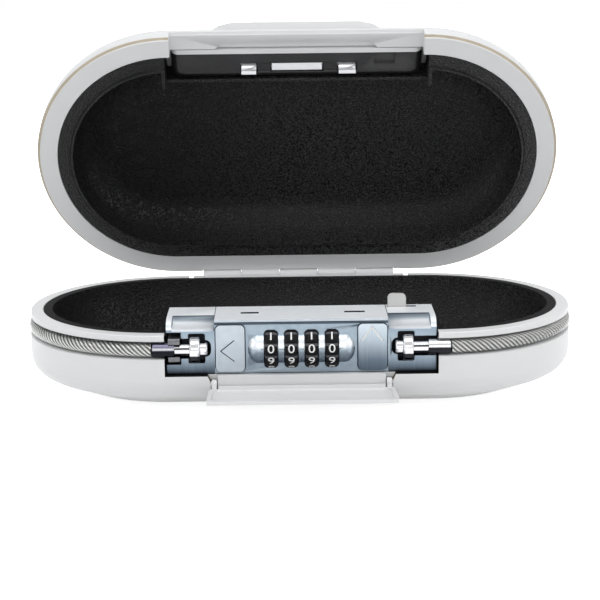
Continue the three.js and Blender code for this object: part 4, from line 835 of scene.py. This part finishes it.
def round_button(at, normal):
    return (within(abs(at.x), BUTTON_GAP_X) and LOCK_FACE_Y + 0.0001 < at.y < GAP_BACK_Y
            and normal.y > -0.5 and within(at.z, BUTTON_GAP_Z))


def under_plate(at, normal):
    return abs(at.x) < CENTRE_EDGE_X and at.z > PLATE_SEAM_Z and normal.y < -0.5


def slot_wall(at, normal):
    return (abs(normal.z) < 0.5 and LOCK_FACE_Y + 0.002 < at.y < PLATE_SLOT_BACK_Y
            and abs(at.x) < PLATE_SLOT_END_X)


def on_front(at, normal):
    return normal.y < -0.5 and at.y < LOCK_FACE_Y + 0.0002


def plate_front(at, normal):
    return normal.y < -0.8 and at.y < LOCK_FACE_Y + 0.001


# Painted light and shade on the lock: the wings and their step get tones by height, the faces that
# look up and the barrel's upper half a painted highlight, and the gaps round the buttons, the seam
# under the plate and the pockets painted shade.
lock_housing = dress("lock_housing", zinc_casting, zinc_recess_shade, zinc_top_highlight, zinc_wing_shaded, zinc_step_reflection,
                     zinc_barrel_highlight, gap_shadow, plate_seam_shadow)
cut_at(lock_housing, (0, 0, PLATE_SEAM_Z), (0, 0, 1), chosen=lambda _, normal: normal.y < -0.5)
for side in (-1, 1):
    cut_at(lock_housing, (side * FACE_CUT_X, 0, 0), (1, 0, 0), chosen=on_front)
for finish, chosen in ((3, on_wing), (4, on_step), (2, facing_up), (5, on_barrel),
                       (6, round_button), (7, under_plate), (1, in_pocket)):
    paint(lock_housing, finish, chosen)
# The top plate is pale, a painted highlight; its front faces get the darker button tone, and its slot
# walls painted shade.
top_plate = dress("lock_top_plate", zinc_top_highlight, zinc_recess_shade, zinc_button)
paint(top_plate, 2, plate_front)
paint(top_plate, 1, slot_wall)
# The thin arrow's groove on this button is painted dark, as painted shade.
cable_button = dress("cable_button", zinc_button, zinc_recess_shade)
paint(cable_button, 1, engraved)
# The latch button is painted darker towards its foot, as painted shade.
latch_button = dress("latch_button", latch_zinc_foot_shade, zinc_cut)
paint(latch_button, 1, engraved)

# %% Steel inside the lock
for node in ("lock_back_plate", "lock_screw_1", "lock_screw_2", "lock_screw_3", "lock_screw_4",
             "dial_spindle", "dial_spring", "latch_button_spring", "cable_button_spring",
             "latch_slide", "lid_hinge_pin", "door_pin_left", "door_pin_right"):
    dress(node, bright_steel)
# The cable jaws get the dark jaw steel, painted shade for the hollow round them.
for node in ("cable_jaw_upper", "cable_jaw_lower"):
    dress(node, jaw_steel_shade)
dress("reset_tab", grey_plastic)
for number in range(1, 5):
    dress(f"dial_sleeve_{number}", turned_brass)

# %% [markdown]
# ## Dials
#
# Each dial is a short drum with softly rounded edges and a shallow notch between every two
# figures, where a fingertip takes hold. The form follows one rule, radius by angle and by place
# along the axle, so it is built ring by ring. The notches are painted a little paler, a painted
# highlight where their floors catch the light.

# %% Drums
DIAL_AXLE = Vector(next(j for j in frame["joints"] if j["child"] == "dial_1")["pos_m"])
DIAL_RADIUS = 0.0088
DIAL_BORE = 0.0043
DIAL_CROWN = 0.0014
CROWN_DROP = 0.75
DIGITS = 10
DIGIT_ANGLE = 2 * math.pi / DIGITS
NOTCH_DEPTH = 0.0008
NOTCH_HALF = math.radians(6.0)
NOTCH_LIT_SHARE = 0.35
OUTER_RADIUS = 0.007


def stitch(work, rings):
    """Faces between every two rings that follow each other."""
    around = len(rings[0])
    for ring, following in zip(rings, rings[1:]):
        for step in range(around):
            after = (step + 1) % around
            work.faces.new((ring[step], ring[after], following[after], following[step]))


def notch_at(angle):
    """How deep the notch is at this angle, from 0 to 1."""
    from_middle = abs((angle % DIGIT_ANGLE) - DIGIT_ANGLE / 2)
    return max(0.0, 1.0 - (from_middle / NOTCH_HALF) ** 2)


def crown_at(spot, half):
    """How far the drum's edge is rounded down at this spot along the axle."""
    past = max(0.0, abs(spot) - (half - DIAL_CROWN)) / DIAL_CROWN
    return DIAL_CROWN * CROWN_DROP * (1.0 - math.sqrt(max(0.0, 1.0 - past * past)))


def drum(name, low_x, high_x, around=180, along=12):
    half = (high_x - low_x) / 2
    work = bmesh.new()
    rings = []
    spots = [half * math.sin(math.pi / 2 * (2 * step / along - 1)) for step in range(along + 1)]
    outside = [(spot, None) for spot in spots]
    for spot, bore in [(spots[0], DIAL_BORE)] + outside + [(spots[-1], DIAL_BORE)]:
        ring = []
        for step in range(around):
            angle = 2 * math.pi * step / around
            radius = bore or DIAL_RADIUS - crown_at(spot, half) - NOTCH_DEPTH * notch_at(angle)
            ring.append(work.verts.new((
                low_x + half + spot,
                DIAL_AXLE.y + radius * math.cos(angle),
                DIAL_AXLE.z + radius * math.sin(angle),
            )))
        rings.append(ring)
    stitch(work, rings + rings[:1])
    bmesh.ops.recalc_face_normals(work, faces=work.faces)
    mesh = mesh_from(work, name, dial_black, dial_notch_lit)
    for face in mesh.polygons:
        up, back = face.center.z - DIAL_AXLE.z, face.center.y - DIAL_AXLE.y
        if math.hypot(up, back) > OUTER_RADIUS and notch_at(math.atan2(up, back)) > NOTCH_LIT_SHARE:
            face.material_index = 1
    mesh.set_sharp_from_angle(angle=math.radians(40.0))
    return standing(name, mesh)


for number in range(1, 5):
    low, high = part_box(f"dial_{number}")
    wheel = drum(f"dial_{number}_drum", low.x, high.x)
    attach(wheel, f"dial_{number}")
    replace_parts(wheel, f"dial_{number}")
print("four drums, notch depth in mm:", NOTCH_DEPTH / MM)

# %% [markdown]
# ## Figures on the dials
#
# The figures run from 0 to 9 round each drum. A figure is set as text, turned into a mesh and cut
# into thin slices, so that it can bend. Then it is wrapped round the drum a few hundredths of a
# millimetre proud, as thick paint is, and turned to its place. The row reads 0 in front.

# %% Flat figures
FIGURE_HEIGHT = 0.0036
FIGURE_PROUD = 0.00006
FIGURE_STRETCH = 1.2
FIGURE_SHARE = 0.7
STROKE_GROWTH = 0.004
SLICED_SPAN = 1.1
FIRST_FIGURE = math.radians(7.0)
SLICES = 9


def figure_mesh(text, height):
    """A flat figure in the x-z plane, centred, facing -Y."""
    curve = bpy.data.curves.new("figure", "FONT")
    curve.body = text
    curve.size = height / FIGURE_SHARE
    curve.offset = height * STROKE_GROWTH
    curve.resolution_u = 3
    holder = standing("figure", curve)
    bpy.context.view_layer.update()
    mesh = bpy.data.meshes.new_from_object(holder.evaluated_get(bpy.context.evaluated_depsgraph_get()))
    bpy.data.objects.remove(holder)
    corners = np.array([v.co for v in mesh.vertices])
    middle = (corners.min(0) + corners.max(0)) / 2
    mesh.transform(Matrix.Translation((-middle[0], -middle[1], 0)))
    mesh.transform(Matrix.Rotation(math.pi / 2, 4, "X"))
    mesh.transform(Matrix.Scale(FIGURE_STRETCH, 4, (1, 0, 0)))
    return mesh


def wrapped_figure(mesh, turn):
    """The figure bent round the drum's axle and turned by an angle about it."""
    work = bmesh.new()
    work.from_mesh(mesh)
    bmesh.ops.remove_doubles(work, verts=work.verts, dist=1e-7)
    for cut in range(1, SLICES):
        level = (cut / SLICES - 0.5) * FIGURE_HEIGHT * SLICED_SPAN
        everything = list(work.verts) + list(work.edges) + list(work.faces)
        bmesh.ops.bisect_plane(
            work, geom=everything, dist=1e-8, plane_co=(0, 0, level), plane_no=(0, 0, 1),
        )
    slab = bmesh.ops.extrude_face_region(work, geom=list(work.faces))
    lifted = [part for part in slab["geom"] if isinstance(part, bmesh.types.BMVert)]
    for vertex in lifted:
        vertex.co.y = -2 * FIGURE_PROUD
    for vertex in work.verts:
        radius = DIAL_RADIUS - FIGURE_PROUD - vertex.co.y
        angle = vertex.co.z / DIAL_RADIUS + turn
        vertex.co.y = -radius * math.cos(angle)
        vertex.co.z = radius * math.sin(angle)
    bmesh.ops.recalc_face_normals(work, faces=work.faces)
    work.to_mesh(mesh)
    work.free()
    return mesh


def joined(name, meshes, finish):
    """One object made of several meshes."""
    work = bmesh.new()
    for mesh in meshes:
        work.from_mesh(mesh)
        bpy.data.meshes.remove(mesh)
    return standing(name, mesh_from(work, name, finish, smooth=False))


# %% Figures round each dial
for number in range(1, 5):
    low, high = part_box(f"dial_{number}")
    figures = []
    for figure in range(DIGITS):
        mesh = figure_mesh(str(figure), FIGURE_HEIGHT)
        mesh = wrapped_figure(mesh, FIRST_FIGURE + figure * DIGIT_ANGLE)
        mesh.transform(Matrix.Translation(((low.x + high.x) / 2, DIAL_AXLE.y, DIAL_AXLE.z)))
        figures.append(mesh)
    ring = joined(f"dial_figures_{number}", figures, figure_white)
    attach(ring, f"dial_{number}")
print("figures set on four dials")

# %% [markdown]
# ## The line across the barrel
#
# A thin line marks the row in which the figures are read. It follows the barrel's curve: rays are
# shot at the lock's front, and a ribbon is laid through the places where they meet the metal.

# %% Index line
lock_surface = BVHTree.FromObject(lock_housing, bpy.context.evaluated_depsgraph_get())
LINE_HALF = 0.00011
LINE_PROUD = 0.00003
LINE_END = 0.0004
BARREL_END = 0.0172
ABOVE_AXLE = 0.0005


def ribbon(name, low_x, high_x, at_z, steps=12):
    work = bmesh.new()
    rows = []
    for step in range(steps + 1):
        x = low_x + (high_x - low_x) * step / steps
        spots = []
        for z in (at_z - LINE_HALF, at_z + LINE_HALF):
            hit = lock_surface.ray_cast(Vector((x, -0.1, z)), Vector((0, 1, 0)))[0]
            spots.append(hit)
        if all(spots) and max(spot.y for spot in spots) < LOCK_FACE_Y + 0.0005:
            rows.append([work.verts.new(spot - Vector((0, LINE_PROUD, 0))) for spot in spots])
    for row, following in zip(rows, rows[1:]):
        work.faces.new((row[0], following[0], following[1], row[1]))
    piece = standing(name, mesh_from(work, name, dark_line, smooth=False))
    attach(piece, "base")
    return piece


edges = [-BARREL_END]
for number in range(1, 5):
    edges += [corner.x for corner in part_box(f"dial_{number}")]
edges.append(BARREL_END)
for number in range(5):
    low_x, high_x = edges[2 * number] + LINE_END, edges[2 * number + 1] - LINE_END
    ribbon(f"index_line_{number + 1}", low_x, high_x, DIAL_AXLE.z + ABOVE_AXLE)
print("index line in", len(edges) // 2, "lengths")

# %% [markdown]
# ## The cable
#
# The cable lies in its groove round the back of the safe. It is a rope of bright strands under
# clear vinyl. The strands wind round the rope like the stripes of a barber's pole, so one lobed
# section is swept along the route and twisted as it goes: that is a job for Geometry Nodes,
# where the twist is a tilt that grows along the curve.

# %% Cable route
CABLE_Z = 0.0298
COAT_RADIUS = 0.00295
ROPE_RADIUS = 0.0024
ROUTE_RADIUS = 0.0601
ROUTE_START = 0.0619
FIRST_ANGLE = math.asin((ROUTE_START - STRAIGHT_HALF) / ROUTE_RADIUS)


def cable_route(steps=110):
    """Points from the left ferrule round the left end, the back and the right end."""
    arc = ROUTE_RADIUS * (math.pi - FIRST_ANGLE)
    whole = 2 * arc + 2 * STRAIGHT_HALF
    points = []
    for step in range(steps + 1):
        run = whole * step / steps
        side, along = (-1, run) if run <= whole / 2 else (1, whole - run)
        if along < arc:
            angle = FIRST_ANGLE + along / ROUTE_RADIUS
            x = side * (STRAIGHT_HALF + ROUTE_RADIUS * math.sin(angle))
            points.append((x, -ROUTE_RADIUS * math.cos(angle), CABLE_Z))
        else:
            points.append((side * (STRAIGHT_HALF - (along - arc)), ROUTE_RADIUS, CABLE_Z))
    return points, whole


def polyline(name, points):
    curve = bpy.data.curves.new(name, "CURVE")
    curve.dimensions = "3D"
    line = curve.splines.new("POLY")
    line.points.add(len(points) - 1)
    for spot, point in zip(line.points, points):
        spot.co = (*point, 1.0)
    return standing(name, curve)


route_points, ROUTE_LENGTH = cable_route()
print("cable route in mm:", round(ROUTE_LENGTH / MM, 1))

# %% [markdown]
# The lobed section is a circle whose radius swells once for each strand. `Strands`, `Radius`,
# `Lobe` and `Turns` are inputs of the tree, so the lay of the rope can be changed without
# touching its inside. The same tree with one strand and no lobe gives the plain vinyl coat.

# %% Rope tree
rope_tree = bpy.data.node_groups.new("rope_lay", "GeometryNodeTree")
rope_tree.is_modifier = True
rope_sockets = {}
for label, kind, value in (
    ("Geometry", "NodeSocketGeometry", None), ("Strands", "NodeSocketInt", 8),
    ("Radius", "NodeSocketFloat", ROPE_RADIUS), ("Lobe", "NodeSocketFloat", 0.00042),
    ("Turns", "NodeSocketFloat", 28.0), ("Steps", "NodeSocketInt", 640),
):
    socket = rope_tree.interface.new_socket(label, in_out="INPUT", socket_type=kind)
    if value is not None:
        socket.default_value = value
    rope_sockets[label] = socket.identifier
socket = rope_tree.interface.new_socket("Finish", in_out="INPUT", socket_type="NodeSocketMaterial")
rope_sockets["Finish"] = socket.identifier
rope_tree.interface.new_socket("Geometry", in_out="OUTPUT", socket_type="NodeSocketGeometry")
rope_in = rope_tree.nodes.new("NodeGroupInput")
rope_out = rope_tree.nodes.new("NodeGroupOutput")

resample = put(rope_tree, "GeometryNodeResampleCurve")
along = put(rope_tree, "GeometryNodeSplineParameter")
twist = put(rope_tree, "GeometryNodeSetCurveTilt")
turned = reckon(rope_tree, "MULTIPLY", along.outputs["Factor"], rope_in.outputs["Turns"])
wire(rope_tree, rope_in.outputs["Geometry"], resample.inputs["Curve"])
wire(rope_tree, rope_in.outputs["Steps"], resample.inputs["Count"])
wire(rope_tree, resample.outputs["Curve"], twist.inputs["Curve"])
wire(rope_tree, reckon(rope_tree, "MULTIPLY", turned, 2 * math.pi), twist.inputs["Tilt"])

section = put(rope_tree, "GeometryNodeCurvePrimitiveCircle", Resolution=108)
section_place = put(rope_tree, "GeometryNodeInputPosition")
section_split = put(rope_tree, "ShaderNodeSeparateXYZ")
section_unit = put(rope_tree, "ShaderNodeVectorMath", {"operation": "NORMALIZE"})
section_scale = put(rope_tree, "ShaderNodeVectorMath", {"operation": "SCALE"})
section_set = put(rope_tree, "GeometryNodeSetPosition")
wire(rope_tree, section_place.outputs[0], section_split.inputs[0])
around = reckon(rope_tree, "ARCTAN2", section_split.outputs["Y"], section_split.outputs["X"])
around = reckon(rope_tree, "MULTIPLY", around, rope_in.outputs["Strands"])
phase = reckon(rope_tree, "MULTIPLY", around, 0.5)
swell = reckon(rope_tree, "ABSOLUTE", reckon(rope_tree, "SINE", phase))
reach = reckon(rope_tree, "MULTIPLY", swell, rope_in.outputs["Lobe"])
reach = reckon(rope_tree, "ADD", reach, rope_in.outputs["Radius"])
wire(rope_tree, section_place.outputs[0], section_unit.inputs[0])
wire(rope_tree, section_unit.outputs[0], section_scale.inputs[0])
wire(rope_tree, reach, section_scale.inputs["Scale"])
marked = section.outputs["Curve"]
for label, value in (("lay_height", swell), ("lay_phase", phase)):
    mark = put(rope_tree, "GeometryNodeStoreNamedAttribute",
               {"data_type": "FLOAT", "domain": "POINT"}, Name=label)
    wire(rope_tree, marked, mark.inputs["Geometry"])
    wire(rope_tree, value, mark.inputs["Value"])
    marked = mark.outputs["Geometry"]
wire(rope_tree, marked, section_set.inputs["Geometry"])
wire(rope_tree, section_scale.outputs[0], section_set.inputs["Position"])

sweep = put(rope_tree, "GeometryNodeCurveToMesh", Fill_Caps=True)
real = put(rope_tree, "GeometryNodeRealizeInstances")
coating = put(rope_tree, "GeometryNodeSetMaterial")
wire(rope_tree, twist.outputs["Curve"], sweep.inputs["Curve"])
wire(rope_tree, section_set.outputs["Geometry"], sweep.inputs["Profile Curve"])
wire(rope_tree, sweep.outputs["Mesh"], real.inputs["Geometry"])
wire(rope_tree, real.outputs["Geometry"], coating.inputs["Geometry"])
wire(rope_tree, rope_in.outputs["Finish"], coating.inputs["Material"])
wire(rope_tree, coating.outputs["Geometry"], rope_out.inputs["Geometry"])

# %% Rope and vinyl
def swept(name, points, finish, **settings):
    """A mesh swept along the route by the rope tree."""
    holder = polyline(name + "_route", points)
    modifier = holder.modifiers.new("rope", "NODES")
    modifier.node_group = rope_tree
    for label, value in settings.items():
        modifier[rope_sockets[label]] = value
    modifier[rope_sockets["Finish"]] = finish
    bpy.context.view_layer.update()
    mesh = bpy.data.meshes.new_from_object(holder.evaluated_get(bpy.context.evaluated_depsgraph_get()))
    bpy.data.objects.remove(holder)
    mesh.name = name
    for face in mesh.polygons:
        face.use_smooth = True
    piece = standing(name, mesh)
    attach(piece, "base")
    print(name, len(mesh.polygons), "faces")
    return piece


rope = swept("cable_wires", route_points, cable_wire, Radius=ROPE_RADIUS)
swept("cable_vinyl", route_points, clear_vinyl,
      Strands=1, Radius=COAT_RADIUS, Lobe=0.0, Turns=0.0, Steps=160)
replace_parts(rope, "cable_rope")

# %% [markdown]
# ## Cable ends
#
# Each end fitting is turned from one steel bar: a ferrule that grips the rope, a thin neck, a
# collar that the lock holds, and a tip. On the right the ferrule was crimped, which leaves six
# flats. The fitting is drawn as a profile with rounded corners and spun about the cable's axis.
# Its corners are given in millimetres: the place along the cable, the radius and the rounding.

# %% Turned profile
CABLE_Y = -0.0601
END_CORNERS = (
    (38.8, 0.0, 0.0), (38.8, 2.9, 0.9), (41.8, 2.9, 0.0), (41.8, 5.4, 1.0), (46.2, 5.4, 1.0),
    (46.2, 2.4, 0.2), (52.4, 2.4, 0.2), (52.4, 3.2, 0.35), (61.6, 3.2, 0.3), (61.6, 0.0, 0.0),
)
NECK_START = 46.3
FERRULE_START = 52.4
CRIMP_MIDDLE = 57.4
CRIMP_HALF = 2.9
CRIMP_DEPTH = 0.22
CRIMP_LEAST_RADIUS = 3.0


def rounded_profile(corners, steps=5):
    """The corners of a profile in mm, each replaced by a small arc of its own radius."""
    points = []
    for index, (x, r, rounding) in enumerate(corners):
        here = Vector((x, r))
        if not rounding:
            points.append(here)
            continue
        before = Vector(corners[index - 1][:2]) - here
        after = Vector(corners[index + 1][:2]) - here
        start, end = here + before.normalized() * rounding, here + after.normalized() * rounding
        for step in range(steps + 1):
            t = step / steps
            points.append((1 - t) ** 2 * start + 2 * t * (1 - t) * here + t * t * end)
    return points


def crimp(x, angle):
    """How far a crimped ferrule is pressed in at this place, in mm."""
    along = max(0.0, 1.0 - ((x - CRIMP_MIDDLE) / CRIMP_HALF) ** 4)
    return CRIMP_DEPTH * along * (0.5 + 0.5 * math.cos(6 * angle))


def turned_end(name, side, pressed, around=96):
    work = bmesh.new()
    rings = []
    for x, radius in rounded_profile(END_CORNERS):
        squeezed = pressed and radius > CRIMP_LEAST_RADIUS and x > NECK_START
        ring = []
        for step in range(around):
            angle = 2 * math.pi * step / around
            reach = radius - (crimp(x, angle) if squeezed else 0.0)
            back, up = reach * MM * math.cos(angle), reach * MM * math.sin(angle)
            ring.append(work.verts.new((side * x * MM, CABLE_Y + back, CABLE_Z + up)))
        rings.append(ring)
    stitch(work, rings)
    bmesh.ops.remove_doubles(work, verts=work.verts, dist=1e-7)
    bmesh.ops.dissolve_degenerate(work, dist=1e-7, edges=work.edges)
    bmesh.ops.recalc_face_normals(work, faces=work.faces)
    ferrule = gunmetal if side < 0 else plated_ferrule
    mesh = mesh_from(work, name, plated_collar, plated_neck, ferrule)
    for face in mesh.polygons:
        reach = abs(face.center.x)
        face.material_index = (reach > NECK_START * MM) + (reach > FERRULE_START * MM)
    mesh.set_sharp_from_angle(angle=math.radians(40.0))
    piece = standing(name, mesh)
    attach(piece, "base")
    print(name, len(mesh.polygons), "faces")
    return piece


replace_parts(turned_end("cable_end_left_turned", -1, False), "cable_end_left")
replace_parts(turned_end("cable_end_right_turned", 1, True), "cable_end_right")

# %% [markdown]
# ## The table and the light
#
# The photograph stands on plain white. The room is white for whatever the camera, a polished
# metal or the clear vinyl sees of it, but it lights the safe more softly than that: one broad
# lamp above, weaker ones to the front and sides. The table is a pale grey that is lifted to white
# with a little glow of its own, and keeps the shadow where the safe stands.

# %% Table
TABLE_HALF = 4.0
TABLE_DROP = 0.0002


def seen_white(tree):
    """1 for what the camera, a polished metal or clear vinyl sees, and 0 for plain light."""
    path = put(tree, "ShaderNodeLightPath")
    seen = reckon(tree, "MAXIMUM", path.outputs["Is Camera Ray"], path.outputs["Is Glossy Ray"])
    return reckon(tree, "MAXIMUM", seen, path.outputs["Is Transmission Ray"])


table_white, tree, shader = new_finish("table_white", (0.80, 0.80, 0.80), 0.8)
speckle(tree, shader, 3.0, (0.79, 0.79, 0.79), (0.81, 0.81, 0.81))
distance = put(tree, "ShaderNodeVectorMath", {"operation": "LENGTH"})
glow = put(tree, "ShaderNodeEmission")
both = put(tree, "ShaderNodeAddShader")
wire(tree, object_place(tree), distance.inputs[0])
lift = rescale(tree, distance.outputs["Value"], 0.05, 0.5, 0.80, 1.0)
wire(tree, reckon(tree, "MULTIPLY", lift, seen_white(tree)), glow.inputs["Strength"])
wire(tree, shader.outputs[0], both.inputs[0])
wire(tree, glow.outputs[0], both.inputs[1])
wire(tree, both.outputs[0], tree.nodes["Material Output"].inputs["Surface"])

work = bmesh.new()
bmesh.ops.create_grid(work, x_segments=1, y_segments=1, size=TABLE_HALF)
bmesh.ops.translate(work, vec=(0, 0, cad_box[0][2] - TABLE_DROP), verts=work.verts)
table = standing("table", mesh_from(work, "table", table_white, smooth=False))
print("table", round(2 * TABLE_HALF, 1), "m wide")

# %% World
world = bpy.data.worlds.new("room")
bpy.context.scene.world = world
world.use_nodes = True
tree = world.node_tree
tree.nodes.clear()
direction = put(tree, "ShaderNodeTexCoord")
split = put(tree, "ShaderNodeSeparateXYZ")
wire(tree, direction.outputs["Generated"], split.inputs[0])
height = rescale(tree, split.outputs["Z"], -0.1, 0.9, kind="LINEAR")
paper = put(tree, "ShaderNodeMix", {"data_type": "RGBA"})
paper.inputs["B"].default_value = (1.0, 1.0, 1.0, 1.0)
sky = put(tree, "ShaderNodeBackground", Strength=1.0)
result = put(tree, "ShaderNodeOutputWorld")
wire(tree, blend(tree, height, (0.66, 0.665, 0.67), (0.74, 0.745, 0.76)), paper.inputs["A"])
wire(tree, seen_white(tree), paper.inputs["Factor"])
wire(tree, paper.outputs["Result"], sky.inputs["Color"])
wire(tree, sky.outputs[0], result.inputs["Surface"])

# %% Lamps
AIM_POINT = Vector((0, 0, 0.03))


def soft_lamp(name, spot, size, power):
    data = bpy.data.lights.new(name, "AREA")
    data.shape = "RECTANGLE"
    data.size, data.size_y = size
    data.energy = power
    lamp = standing(name, data)
    lamp.location = spot
    lamp.rotation_euler = (AIM_POINT - Vector(spot)).to_track_quat("-Z", "Y").to_euler()


soft_lamp("lamp_above", (0.0, -0.30, 0.95), (0.9, 0.4), 3.8)
soft_lamp("lamp_front", (0.0, -1.1, 0.35), (0.9, 0.25), 1.1)
soft_lamp("lamp_left", (-0.9, -0.35, 0.45), (0.25, 0.6), 1.0)
soft_lamp("lamp_right", (0.9, -0.35, 0.45), (0.25, 0.6), 1.4)

# %% Colour as written
bpy.context.scene.view_settings.view_transform = "Standard"

# %% [markdown]
# ## Sizes
#
# The dressed safe must stay inside the CAD box.

# %% Sizes
import json

bpy.context.view_layer.update()
